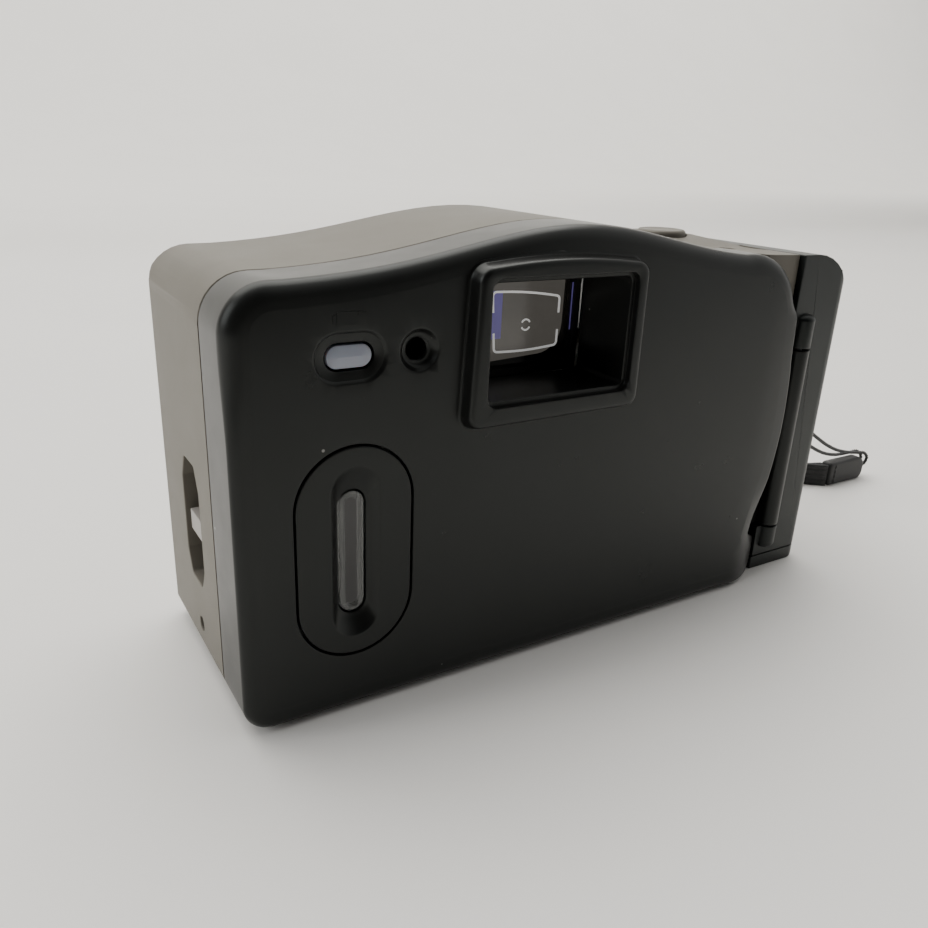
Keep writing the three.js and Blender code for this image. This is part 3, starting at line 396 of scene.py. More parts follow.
# %% Outline tools
def arc_corner(before, corner, after, radius, steps):
    """The corner of an outline turned into an arc."""
    here = Vector(corner)
    inward, outward = (Vector(before) - here).normalized(), (Vector(after) - here).normalized()
    half = math.acos(max(-1.0, min(1.0, inward.dot(outward)))) / 2
    start, end = here + inward * radius / math.tan(half), here + outward * radius / math.tan(half)
    centre = here + (inward + outward).normalized() * radius / math.sin(half)
    first = math.atan2(*(start - centre).yx)
    turn = (math.atan2(*(end - centre).yx) - first + math.pi) % math.tau - math.pi
    return [(centre.x + radius * math.cos(first + turn * k / steps),
             centre.y + radius * math.sin(first + turn * k / steps))
            for k in range(steps + 1)]


def rounded(corners, steps=12):
    """Corners (a, b, radius) in order; a radius of nothing keeps the corner sharp."""
    made = []
    for i, (a, b, radius) in enumerate(corners):
        if radius:
            made += arc_corner(corners[i - 1][:2], (a, b), corners[(i + 1) % len(corners)][:2], radius, steps)
        else:
            made.append((a, b))
    return made


def obround(across, up, width, height, steps=14):
    radius = min(width, height) / 2 - 0.01
    a, b = width / 2, height / 2
    return rounded([(across - a, up - b, radius), (across + a, up - b, radius), (across + a, up + b, radius),
                    (across - a, up + b, radius)], steps)


def circle(across, up, radius, sides=48):
    return [(across + radius * math.cos(math.tau * k / sides), up + radius * math.sin(math.tau * k / sides))
            for k in range(sides)]


def smoothstep(t):
    t = max(0.0, min(1.0, t))
    return t * t * (3 - 2 * t)


def crown(across):
    """Height of the humped top."""
    return 67.4 + 6.7 * math.exp(-((across - 57) / 28) ** 2)


# %% Ring shells
class Shell:
    """Points and faces gathered ring by ring, in millimetres (across, out, up)."""

    def __init__(self):
        self.points, self.faces = [], []

    def ring(self, outline, depth):
        first = len(self.points)
        for across, up in outline:
            self.points.append((across, depth(across, up) if callable(depth) else depth, up))
        return list(range(first, len(self.points)))

    def wall(self, a, b):
        for i in range(len(a)):
            j = (i + 1) % len(a)
            self.faces.append((a[i], a[j], b[j], b[i]))

    def stack(self, rings):
        """Walls between rings given as (outline, depth), from the first to the last."""
        made = [self.ring(outline, depth) for outline, depth in rings]
        for a, b in zip(made, made[1:]):
            self.wall(a, b)
        return made[0], made[-1]

    def fill(self, outer, holes=(), depth=None, pitch=None):
        flat = lambda ring: [Vector((self.points[i][0], self.points[i][2])) for i in ring]
        loops = [outer, *holes]
        flats = [flat(ring) for ring in loops]
        ids, edges = [i for ring in loops for i in ring], []
        for ring in loops:
            base = ids.index(ring[0])
            edges += [(base + k, base + (k + 1) % len(ring)) for k in range(len(ring))]
        points = [p for loop in flats for p in loop]
        if pitch:
            xs, ys = [p.x for p in flats[0]], [p.y for p in flats[0]]
            for i in range(int((max(xs) - min(xs)) / pitch)):
                for j in range(int((max(ys) - min(ys)) / pitch)):
                    p = Vector((min(xs) + (i + 0.5 + 0.5 * (j % 2)) * pitch, min(ys) + (j + 0.5) * pitch))
                    if all(clear_of(p, loop, 0.55 * pitch) for loop in flats) and within(p, flats[0]) \
                            and not any(within(p, loop) for loop in flats[1:]):
                        points.append(p)
                        ids.append(len(self.points))
                        self.points.append((p.x, depth(p.x, p.y), p.y))
        verts, _, triangles, origin, _, _ = delaunay_2d_cdt(points, edges, [], 0, 1e-6)
        for triangle in triangles:
            middle = sum((verts[i] for i in triangle), Vector((0, 0))) / 3
            if within(middle, flats[0]) and not any(within(middle, loop) for loop in flats[1:]):
                self.faces.append(tuple(ids[origin[i][0]] for i in triangle))

    def add_box(self, a0, a1, o0, o1, u0, u1):
        """A plain block as a closed body of its own, for ribs and webs inside the shell."""
        first = len(self.points)
        self.points += [(a, o, u) for a in (a0, a1) for o in (o0, o1) for u in (u0, u1)]
        self.faces += [tuple(first + i for i in face) for face in (
            (0, 1, 3, 2), (4, 6, 7, 5), (0, 4, 5, 1), (2, 3, 7, 6), (0, 2, 6, 4), (1, 5, 7, 3))]

    def piece(self, name, material, angle=30, edge=0.0):
        made = new_piece(name, [place(*p) for p in self.points], self.faces, material)
        return tidy(made, angle, edge)


def within(p, loop):
    inside, q = False, loop[-1]
    for r in loop:
        if (r.y > p.y) != (q.y > p.y) and p.x < (q.x - r.x) * (p.y - r.y) / (q.y - r.y) + r.x:
            inside = not inside
        q = r
    return inside


def clear_of(p, loop, gap):
    return all((p - q).length > gap for q in loop)


def tidy(piece, angle=30, edge=0.0, steps=2, chosen="ANGLE"):
    """Outward normals, optional soft edges, smooth shading that stays crisp at real edges."""
    mesh = piece.data
    bm = bmesh.new()
    bm.from_mesh(mesh)
    bmesh.ops.remove_doubles(bm, verts=bm.verts, dist=1e-7)
    bmesh.ops.recalc_face_normals(bm, faces=bm.faces)
    bm.to_mesh(mesh)
    bm.free()
    if edge:
        bevel = piece.modifiers.new("soft edges", "BEVEL")
        bevel.width, bevel.segments, bevel.limit_method = edge * MM, steps, chosen
        bevel.angle_limit, bevel.use_clamp_overlap = math.radians(angle), False
    apply_all(piece)
    piece.data.set_sharp_from_angle(angle=math.radians(angle + 8))
    weigh = piece.modifiers.new("even shading", "WEIGHTED_NORMAL")
    weigh.keep_sharp = True
    apply_all(piece)
    return piece


def apply_all(piece):
    """Turns what the modifiers make into the piece's own mesh."""
    if not piece.modifiers:
        return
    shown = piece.evaluated_get(bpy.context.evaluated_depsgraph_get())
    mesh = bpy.data.meshes.new_from_object(shown, preserve_all_data_layers=True,
                                           depsgraph=bpy.context.evaluated_depsgraph_get())
    piece.modifiers.clear()
    piece.data = mesh


# %% [markdown]
# ## The film door
# The door's outline is drawn at any inset with the same number of points. Its shoulder is soft along the top,
# the left side and the foot, and tight along the bowed side by the hinge. The face stays flat where the
# film runs and falls away towards the grip, most of all in the lower corner.

# %% Door outline and depth
FOOT = 0.8
DOOR_RIGHT = 110
WALL = 2.0
DOOR_EDGE = [(110.6, 48), (111.05, 45.5), (111.3, 43), (111.5, 40.5), (111.6, 38), (111.6, 35.5), (111.5, 33),
             (111.25, 30.5),
             (110.9, 28), (110.45, 25.5), (109.9, 23), (109.35, 20.5), (108.8, 18), (108.25, 15.9),
             (107.75, 13.8),
             (107.3, 11.8), (107.35, 11.1), (108.2, 10.6), (109.8, 9.8), (111.4, 8.9), (112.2, 8.2),
             (112.65, 7.4), (112.8, 6.4),
             (112.8, 5), (112.8, 3.7), (112.65, 2.8), (112.3, 2.1), (111.7, 1.5), (111, 1.1), (110.2, 0.87),
             (109.2, FOOT)]


def door_outline(inset, corner_steps=12, crown_steps=44):
    left, right = inset, DOOR_RIGHT - inset
    left_r, right_r = 7 - inset, 13 - inset
    top = []
    for k in range(1, crown_steps):
        across = left + left_r + (right - right_r - left - left_r) * k / crown_steps
        top.append((across, crown(across) - inset, 0))
    corners = [(right, FOOT + inset, 0), (left, FOOT + inset, max(4.5 - inset, 0.5)),
               (left, crown(left + left_r) - inset, left_r), *top,
               (right, crown(right - right_r) - inset, right_r)]
    side = [(a - inset, u + inset * max(0.0, 1 - (u - FOOT) / 10.4)) for a, u in DOOR_EDGE]
    return rounded(corners, corner_steps)[1:] + side


def divide(outline, counts):
    made = []
    for i, (a, b) in enumerate(outline):
        c, d = outline[(i + 1) % len(outline)]
        made += [(a + (c - a) * k / counts[i], b + (d - b) * k / counts[i]) for k in range(counts[i])]
    return made


DOOR_COUNTS = [max(1, math.ceil(math.dist(p, q) / 1.6)) for p,
               q in zip(door_outline(0), door_outline(0)[1:] + door_outline(0)[:1])]


def door_ring(inset):
    return divide(door_outline(inset), DOOR_COUNTS)


def face_depth(across, up):
    """How the door's face falls away towards the grip, most of all at its heel."""
    low = smoothstep((24 - up) / 13)
    reach = max(0.0, min(1.0, (across - 103) / 9.6))
    return -(0.8 * (1 - low) + 3.9 * low) * reach ** 1.6


def shoulder(inset, across, up):
    """Depth of the outline's rounded shoulder below the face at some inset."""
    def quarter(width, depth):
        return depth * (1 - math.sqrt(max(0.0, 1 - (1 - min(inset, width) / width) ** 2)))

    upper = smoothstep((up - 45) / 14)
    soft = quarter(1.7 + 1.2 * upper, 1.2 + 1.4 * upper) + 0.07 * (1 - smoothstep((inset - 2.9) / 0.7))
    right = smoothstep((across - 98) / 9) * (1 - upper * smoothstep((up - 56) / 4))
    return face_depth(across, up) - (soft * (1 - right) + quarter(0.5, 0.4) * right)


def rim_depth(across, up=0):
    """Where the door's rim ends: deep along the film chamber, shallow beside the hinge."""
    return -11 + 6.4 * max(0.0, min(1.0, (across - 98) / 6))


# %% [markdown]
# The eyepiece frame stands 2.5 mm out of the face, with drafted sides and an arched top. Behind it a straight
# tunnel runs in to the eyepiece lens. The door also has a deep hole for the cartridge window, a dished place
# for the transport lamp and one for the rewind button.

# %% Film door shell
EYE = {"left": 39.0, "right": 65.2, "low": 48.6, "high": 66.4}
WINDOW_AT, LAMP_AT, REWIND_AT = (17.9, 27.4), (17.4, 57.2), (27.9, 57.3)


def frame_outline(grow):
    arch = [(52 + 14.4 * (k / 6 - 1), 69.6 + grow - 0.95 * (k / 6 - 1) ** 2, 0) for k in range(1, 12)]
    return rounded([(35.2 - grow, 44.8 - grow, 2 + grow), (68.1 + grow, 45 - grow, 2 + grow),
                    (68 + grow, 68.55 + grow, 2.4 + grow), *arch[::-1],
                    (36.3 - grow, 68.55 + grow, 2.4 + grow)], 10)


def opening_outline(grow, radius=1.0):
    return rounded([(EYE["left"] - grow, EYE["low"] - grow, radius + grow),
                    (EYE["right"] + grow, EYE["low"] - grow, radius + grow),
                    (EYE["right"] + grow, EYE["high"] + grow, radius + grow),
                    (EYE["left"] - grow, EYE["high"] + grow, radius + grow)], 8)


def film_door():
    shell = Shell()
    insets = [2.9 * (1 - math.cos(math.radians(a)))
              for a in (0, 8, 16, 24, 32, 40, 48, 56, 64, 72, 81, 90)] + [3.25, 3.6]
    rim_rings = [(door_ring(0.25), rim_depth), (door_ring(0), lambda a, u: rim_depth(a) + 0.25)]
    outer_first, outer_last = shell.stack(rim_rings + [
        (door_ring(i), lambda a, u, i=i: max(shoulder(i, a, u), rim_depth(a) + 0.3)) for i in insets])
    inner_depth = lambda a, u: max(face_depth(a, u) - 2.2, rim_depth(a) + 0.12)
    inner_first, inner_last = shell.stack([(door_ring(WALL - 0.2), rim_depth),
                                           (door_ring(WALL), lambda a, u: rim_depth(a) + 0.1),
                                           (door_ring(WALL), inner_depth)])
    shell.wall(outer_first, inner_first)
    holes, inner_holes = [], []

    def hole(rings):
        first, last = shell.stack(rings)
        holes.append(first)
        inner_holes.append(last)

    across, up = WINDOW_AT
    hole([(obround(across, up, 19.5, 35), 0), (obround(across, up, 19.1, 34.6), -0.08),
          (obround(across, up, 18.9, 34.4), -0.3),
          (obround(across, up, 18.9, 34.4), -2.2)])
    across, up = LAMP_AT
    hole([(obround(across, up, 11.4, 7.7), 0), (obround(across, up, 10.8, 7.1), -0.1),
          (obround(across, up, 10.2, 6.5), -0.42),
          (obround(across, up, 8.2, 4.6), -0.55), (obround(across, up, 7.5, 4), -0.75),
          (obround(across, up, 7.4, 3.9), -2.2)])
    across, up = REWIND_AT
    hole([(circle(across, up, r), w) for r,
          w in ((3.45, 0), (3.1, -0.1), (2.75, -0.55), (2.45, -0.92), (2.25, -1), (1.85, -1),
                                                  (1.65, -1.15), (1.65, -2.2))])
    hole([(opening_outline(0.9), 0), (opening_outline(0.9), -2.2)])
    shell.fill(outer_last, holes, face_depth, 2.4)
    shell.fill(inner_last, inner_holes, inner_depth, 5)
    return shell


def eyepiece_frame(shell):
    """The raised frame and its tunnel, a closed body that stands through the door's face."""
    frame_first, frame_last = shell.stack([(frame_outline(g), w) for g, w in (
        (0.8, -1.6), (0.8, -0.02), (0.62, 0.02), (0.42, 0.12), (0.3, 0.35), (0.16, 1.1), (0, 1.8),
        (-0.12, 2.15), (-0.35, 2.4),
        (-0.7, 2.5), (-1.1, 2.5))])
    tunnel_first, tunnel_last = shell.stack([(opening_outline(g), w) for g, w in (
        (0.95, 2.5), (0.8, 2.44), (0.72, 2.3), (0.7, 1.6), (0.62, 1.45), (0.12, 1.4), (0, 1.28), (0, -10.6),
        (0.15, -10.8),
        (1.3, -10.8), (1.5, -10.6), (1.5, -1.6))])
    shell.fill(frame_last, [tunnel_first])
    shell.fill(frame_first, [tunnel_last])


shell = film_door()
eyepiece_frame(shell)
for left, right, low, high in ((14.7, 15.3, 62, 63.1), (15.35, 18.3, 61.7, 63.5), (18.45, 19.4, 62.9, 63.4)):
    shell.add_box(left, right, -0.3, 0.07, low, high)
shell.add_box(104, 109, -7.2, -3.4, 10.6, 48.9)
shell.add_box(108, 117, -7.1, -5.4, 10.6, 48.9)
for foot in (18, 38):
    shell.add_box(1.5, 4.4, -10.9, -8, foot, foot + 4)
    shell.add_box(2.5, 4.4, -15.4, -10.8, foot, foot + 4)
door = shell.piece("film_door_shell", BLACK, 26)
print("film door", len(door.data.polygons), "faces")

# %% Lathe
def lathe(name, profile, axis, centre, material, sides=64, angle=30):
    """A turned piece: profile points (radius, along) in mm, about an axis 'out', 'up' or 'across'."""
    points, faces = [], []
    for radius, along in profile:
        for k in range(sides):
            a, b = radius * math.cos(math.tau * k / sides), radius * math.sin(math.tau * k / sides)
            points.append(place(*{"out": (centre[0] + a, along, centre[1] + b),
                                  "up": (centre[0] + a, centre[1] + b, along),
                                  "across": (along, centre[0] + a, centre[1] + b)}[axis]))
    for i in range(len(profile)):
        j = (i + 1) % len(profile)
        for k in range(sides):
            m = (k + 1) % sides
            faces.append((i * sides + k, i * sides + m, j * sides + m, j * sides + k))
    return tidy(new_piece(name, points, faces, material), angle)


print("lathe ready")

# %% Joining pieces
def join_pieces(target, *others):
    """Others become part of target."""
    bm = bmesh.new()
    bm.from_mesh(target.data)
    for other in others:
        bm.from_mesh(other.data)
        bpy.data.objects.remove(other)
    bm.to_mesh(target.data)
    bm.free()
    return target


HINGE = (117.0, -4.5)
barrel = lathe("hinge_barrel",
               [(1.1, 10.6), (2.05, 10.6), (2.23, 10.66), (2.3, 10.85), (2.3, 48.65), (2.23, 48.84),
                (2.05, 48.9),
                                (1.1, 48.9)], "up", HINGE, BLACK)
join_pieces(door, barrel)
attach(door, "film_door")
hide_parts("back_cover")

# %% [markdown]
# ## Finer copies of the moulded casings
# The silver casing, the grip and the plates have their right shapes in the CAD, but their edges are knife
# sharp. A copy is merged, its real edges are given a bevel weight, and a Bevel modifier rounds those by a
# fifth of a millimetre, as a mould does. The knife-thin rim at the foot is left alone.

# %% Soft-edged copies
def softened(node, name, material, edge=0.2, steps=2, angle=28, above=-1.0):
    mesh = NODES[node].data.copy()
    mesh.materials.clear()
    mesh.materials.append(material)
    piece = bpy.data.objects.new(name, mesh)
    bpy.context.scene.collection.objects.link(piece)
    bm = bmesh.new()
    bm.from_mesh(mesh)
    bmesh.ops.remove_doubles(bm, verts=bm.verts, dist=2e-6)
    weight = bm.edges.layers.float.new("bevel_weight_edge")
    for line in bm.edges:
        real = len(line.link_faces) == 2 and line.calc_face_angle() > math.radians(angle)
        if real and min(v.co.z for v in line.verts) > above * MM and line.calc_length() > 0.15 * MM:
            line[weight] = 1.0
    bm.to_mesh(mesh)
    bm.free()
    for polygon in mesh.polygons:
        polygon.material_index = 0
    mesh.shade_smooth()
    tidy(piece, angle, edge, steps, "WEIGHT")
    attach(piece, BODY_OF[node])
    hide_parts(node)
    return piece


casing = softened("top_front_shell", "silver_casing", SILVER, above=6.2)
grip = softened("grip_shell", "grip_casing", GRIP_WITH_PAINTED_SHEEN, above=3.6)
for node, name, material, slot_name in (
        ("bottom_plate", "base_plate", GRIP_WITH_PAINTED_SHEEN, "black_plastic"),
        ("battery_door", "battery_hatch", GRIP_WITH_PAINTED_SHEEN, "black_plastic"),
        ("latch_slider", "latch_knob", LATCH_FINISH, "light_plastic")):
    softened(node, name, material)
print("silver casing", len(casing.data.polygons), "faces; grip", len(grip.data.polygons))

# %% [markdown]
# ## Windows and panes
# Every pane is a short stack of rings with its ends filled, so its rims are rounded and catch the light as
# moulded or ground edges do.

# %% Pane helper
def pane(node, name, material, outline, depths, grow=0.0):
    """A rounded slab: outline(inset) gives the ring, depths are its ends; grow domes the rear face."""
    low, high = depths
    shell = Shell()
    steps = [(0.3, low), (0.08, low + 0.08), (0, low + 0.3), (0, high - 0.3), (0.08, high - 0.08),
             (0.3, high)]
    if grow:
        steps += [(0.7, high + 0.35 * grow), (1.2, high + 0.75 * grow), (1.6, high + grow)]
    first, last = shell.stack([(outline(inset), w) for inset, w in steps])
    shell.fill(first)
    shell.fill(last)
    made = shell.piece(name, material, 30)
    take_place(made, node)
    return made


def take_place(piece, node):
    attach(piece, BODY_OF[node])
    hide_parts(node)


def box_outline(node, radius):
    left, right, _, _, low, high = extent(node)
    return lambda i: rounded([(left + i, low + i, radius), (right - i, low + i, radius),
                              (right - i, high - i, radius),
                              (left + i, high - i, radius)], 6)


for node, name, material in (("eyepiece_lens", "eyepiece_glass", SHADE_DARKENED_EYE_GLASS),
                             ("bright_line_plate", "mark_plate", GLASS),
                             ("objective_lens", "objective_glass", GLASS)):
    pane(node, name, material, box_outline(node, 2.0), extent(node)[2:4])
lamp = pane("transport_lamp_window", "transport_lamp", LAMP,
            lambda i: obround(*LAMP_AT, 6.8 - 2 * i, max(3.3 - 2 * i, 0.1)), (-3, -0.7), 0.2)
print("lamp", len(lamp.data.polygons), "faces")

# %% [markdown]
# The finder shows a broken bright frame with a small broken circle in its middle. The marks glow: painted light for
# the light that comes through the finder. They float just behind the eye side of the eyepiece glass, with a painted
# violet glint of its coating at one side and a painted bright rim at the other.

# %% Finder marks
def ribbon(shell, line, width, w0, w1):
    """A flat strip along a line of (across, up) places, closed on every side."""
    rows = []
    for i, (a, u) in enumerate(line):
        before, after = line[max(i - 1, 0)], line[min(i + 1, len(line) - 1)]
        along = Vector((after[0] - before[0], after[1] - before[1])).normalized()
        side = Vector((-along.y, along.x)) * width / 2
        first = len(shell.points)
        shell.points += [(a + side.x, w0, u + side.y), (a + side.x, w1, u + side.y),
                         (a - side.x, w1, u - side.y),
                         (a - side.x, w0, u - side.y)]
        rows.append([first, first + 1, first + 2, first + 3])
    for a, b in zip(rows, rows[1:]):
        shell.wall(a, b)
    shell.faces += [tuple(rows[0]), tuple(rows[-1][::-1])]


marks = Shell()
MARK_DEPTHS = (-12.76, -12.66)
TOP_LEFT, TOP_RIGHT, LOW_RIGHT, LOW_LEFT = (48.1, 62.5), (61.9, 61.15), (61.85, 52.6), (48.9, 52.3)


def toward(a, b, share):
    return (a[0] + (b[0] - a[0]) * share, a[1] + (b[1] - a[1]) * share)


def half_frame(left, right, left_end, right_end, bow):
    """One half of the bright frame: down one side, along the top or foot, and down the other side."""
    first, last = arc_corner(left_end, left, right, 0.7, 6), arc_corner(left, right, right_end, 0.7, 6)
    span = [toward(first[-1], last[0], k / 8) for k in range(1, 8)]
    span = [(a, u + bow * math.sin(math.pi * (k + 1) / 8)) for k, (a, u) in enumerate(span)]
    return [left_end, *first, *span, *last, right_end]


ribbon(marks,
       half_frame(TOP_LEFT, TOP_RIGHT, toward(TOP_LEFT, LOW_LEFT, 0.34), toward(TOP_RIGHT, LOW_RIGHT, 0.34),
                  0.25),
       0.36, *MARK_DEPTHS)
ribbon(marks,
       half_frame(LOW_LEFT, LOW_RIGHT, toward(TOP_LEFT, LOW_LEFT, 0.68), toward(TOP_RIGHT, LOW_RIGHT, 0.68),
                  -0.25),
       0.36, *MARK_DEPTHS)
for start in (0.15, 1.15):
    ribbon(marks,
           [(55.1 + 0.9 * math.cos(math.pi * (start + 0.7 * k / 12)),
             56.6 + 0.9 * math.sin(math.pi * (start + 0.7 * k / 12)))
                   for k in range(13)], 0.28, *MARK_DEPTHS)
# Two glowing strips are painted highlights: a violet glint of the eyepiece coating at the left and a bright rim at the
# right, standing in for reflections.
painted_glint_strips = Shell()
painted_glint_strips.add_box(48.0, 50.1, -12.74, -12.7, 54.6, 62.6)
painted_glint_strips.add_box(64.45, 64.7, -12.74, -12.7, 55.1, 63.3)
# A glowing plane just behind the marks is painted light: it stands in for the dim view seen through the finder.
picture = Shell()
first, last = picture.stack([(rounded([(46.2, 50.7, 0.8), (62.7, 51.6, 5), (62.9, 64.4, 0.5),
                                       (46.2, 64.4, 0.5)], 8), w)
                             for w in (-12.79, -12.77)])
picture.fill(first)
picture.fill(last)
for thing, name, material in ((marks, "finder_marks", PAINTED_GLOW_MARKS), (painted_glint_strips, "painted_coating_glint", PAINTED_GLINT),
                              (picture, "painted_finder_view", PAINTED_FINDER_VIEW)):
    made = thing.piece(name, material, 40)
    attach(made, "camera_body")
print("finder marks", len(marks.faces), "faces")

# %% [markdown]
# The cartridge window sits in its own plate. A long dish slopes down to the pane, steep at its upper end, and
# the pane's thick rim is paler than its middle.

# %% Cartridge window
def window_plate():
    a, u = WINDOW_AT
    shell = Shell()
    first, last = shell.stack([(obround(a, up, w, h), d) for up, w, h, d in (
        (u, 20.9, 36.4, -4), (u, 20.9, 36.4, -2.6), (u, 18.3, 33.8, -2.5), (u, 18.3, 33.8, -0.2),
        (u, 18.1, 33.6, -0.08),
        (u, 17.8, 33.3, -0.05), (u, 8.2, 28.2, -0.05), (u, 7.6, 27.6, -0.12), (u - 0.1, 7, 26.8, -0.4),
        (u - 0.3, 5.6, 22.8, -1.35), (u - 0.4, 5, 21, -1.5), (u - 0.4, 4.6, 20.6, -1.6),
        (u - 0.4, 4.6, 20.6, -4))])
    shell.wall(last, first)
    return shell.piece("window_plate", BLACK, 35)


take_place(window_plate(), "film_window_bezel")


def window_pane():
    a, u = WINDOW_AT
    shell = Shell()
    first, last = shell.stack([(obround(a, u - 0.4, w, h), d) for w, h, d in (
        (3.6, 19.6, -3.8), (4, 20, -3.5), (4, 20, -1.9), (3.8, 19.8, -1.66), (3.3, 19.3, -1.6),
        (2.5, 18.5, -1.75), (1.9, 17.7, -2))])
    rim = len(shell.faces)
    shell.fill(first)
    shell.fill(last)
    made = shell.piece("window_pane", DARK_GLASS, 35)
    made.data.materials.append(WINDOW)
    for polygon in made.data.polygons:
        middle = sum((made.data.vertices[i].co for i in polygon.vertices), Vector()) / len(polygon.vertices)
        at = (FLANK_X - middle.x) / MM - a
        outside = abs(at) > 0.9 or abs(middle.z / MM - u + 0.4) > 8.6
        polygon.material_index = 1 if polygon.index < rim and outside else 0
    return made


take_place(window_pane(), "film_window")


def foam_ring():
    shell = Shell()
    w, h = 17, 32
    first, last = shell.stack([(obround(*WINDOW_AT, w - 2 * i, h - 2 * i), d) for i, d in (
        (0, -7.9), (0, -4.9), (0.2, -4.5), (0.6, -4.3), (2.9, -4.3), (3.3, -4.5), (3.5, -4.9), (3.5, -7.9),
        (3.3, -8.3),
        (2.9, -8.5), (0.6, -8.5), (0.2, -8.3))])
    shell.wall(last, first)
    return shell.piece("foam_ring", FOAM, 50)


seal = foam_ring()
take_place(seal, "cartridge_seal")
print("window plate, pane and foam ring made")

# %% [markdown]
# ## Turned pieces
# The lens, its ring with fine grooves, the stepped light baffle, the buttons, the tripod bush with its
# thread, and the domed ends of the hinge are all profiles turned about an axis.

# %% Lens group
LENS_AT = (54.5, 31.0)
baffle = [(10.1 - 0.5 * k, -46.4 + 0.88 * k) for k in range(6)]
BARREL = [(6.6, -33.4), (12, -33.4), (12, -46.1), (11.8, -46.4)]
for radius, along in baffle:
    BARREL += [(radius, along), (radius - 0.08, along + 0.8), (radius - 0.42, along + 0.86)]
BARREL += [(6.6, -41.2)]
GROOVED = [(17, -41), (17, -47.1), (16.75, -47.75), (16.2, -48)]
for k in range(4):
    at = 15.9 - 0.55 * k
    GROOVED += [(at, -48), (at - 0.08, -47.82), (at - 0.24, -47.82), (at - 0.32, -48)]
GROOVED += [(13.4, -48), (12.7, -47.5), (12.4, -46.8), (12.4, -41)]
TURNED = {
    "lens_ring": ("ring_grooved", GROOVED, LENS_AT, "out", BLACK, "inner_plastic"),
    "lens_barrel": ("barrel_stepped", BARREL, LENS_AT, "out", INNER, "inner_plastic"),
    "front_lens": ("lens_front_glass",
                   [(0, -41), (2, -40.93), (4, -40.7), (5.4, -40.36), (6.1, -40.1), (6.2, -39.95),
                    (6.2, -38.2),
                                        (6.1, -38.05), (4, -37.65), (2, -37.46), (0, -37.4)], LENS_AT, "out",
                                        GLASS, "clear_lens"),
    "rear_lens": ("lens_rear_glass",
                  [(0, -30.6), (3, -30.5), (5.9, -30.1), (6, -29.95), (6, -29), (5.9, -28.9), (3, -28.66),
                                      (0, -28.6)], LENS_AT, "out", GLASS, "clear_lens"),
}

# %% Buttons, bush and hinge ends
top = extent("shutter_button")[5]
low = extent("shutter_button")[4]
TURNED["shutter_button"] = ("release_button", [
    (0, top - 0.25), (2.5, top - 0.18), (3.7, top - 0.04), (4.1, top), (4.5, top - 0.06), (4.85, top - 0.35),
    (5, top - 0.8),
    (5, low + 1), (6, low + 1), (6, low), (0, low)], (99.5, -29.0), "up", SILVER, "silver_paint")
for node, at in (("flash_button", (94.0, -15.0)), ("self_timer_button", (104.0, -15.0))):
    low, top = extent(node)[4:6]
    TURNED[node] = (node + "_cap",
                    [(0, top - 0.05), (0.8, top), (1.1, top - 0.06), (1.27, top - 0.25), (1.3, top - 0.5),
                                    (1.3, low + 1.2), (1.9, low + 1.15), (1.9, low), (0, low)], at, "up",
                                    INNER, "inner_plastic")
BUSH = [(3.0, 0.35), (3.25, 0.1), (4.7, 0.1), (5, 0.3), (5, 3.2), (6.5, 3.2), (6.5, 4.6), (3, 4.6)]
BUSH += [(3.0 + (0.16 if k % 2 == 0 else 0.0), 4.4 - 0.31 * k) for k in range(13)]
TURNED["tripod_bush"] = ("threaded_bush", BUSH, (64.0, -24.0), "up", STEEL, "steel")
for node, (name, profile, centre, axis, material, slot_name) in TURNED.items():
    take_place(lathe(name, profile, axis, centre, material, 56), node)
for name, base, sign in (("hinge_end_low", 6.0, -1), ("hinge_end_high", 55.0, 1)):
    cap = lathe(name,
                [(r, base + sign * h) for r,
                 h in ((0, 1.15), (0.8, 1.08), (1.5, 0.86), (2.0, 0.5), (2.24, 0.15), (2.3, -0.2),
                                                        (0, -0.2))], "up", HINGE, GRIP_WITH_PAINTED_SHEEN, 40)
    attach(cap, "camera_body")
print(len(TURNED), "turned pieces")

# %% [markdown]
# ## The keeper of the strap
# The keeper is a folded and stitched end: a rounded pad standing on its edge. Its stitches are one short
# thread repeated by a Geometry Nodes group along a line, with the count and spacing as named inputs.

# %% Keeper
def keeper_pad():
    left, right, front, back, low, high = extent("strap_tab")
    outline = lambda i: rounded([(left + i, low + i, 0.7), (right - i, low + i, max(2.2 - i, 0.4)),
                                 (right - i, high - i, max(2.8 - i, 0.4)),
                                 (left + i, high - i, 0.7)], 8)
    shell = Shell()
    first, last = shell.stack([(outline(i), w) for i, w in (
        (0.75, front), (0.32, front + 0.1), (0.08, front + 0.35), (0, front + 0.8), (0, back - 0.8),
        (0.08, back - 0.35),
        (0.32, back - 0.1), (0.75, back))])
    shell.fill(first)
    shell.fill(last)
    return shell.piece("keeper_pad", KEEPER, 40)


keeper = keeper_pad()
take_place(keeper, "strap_tab")


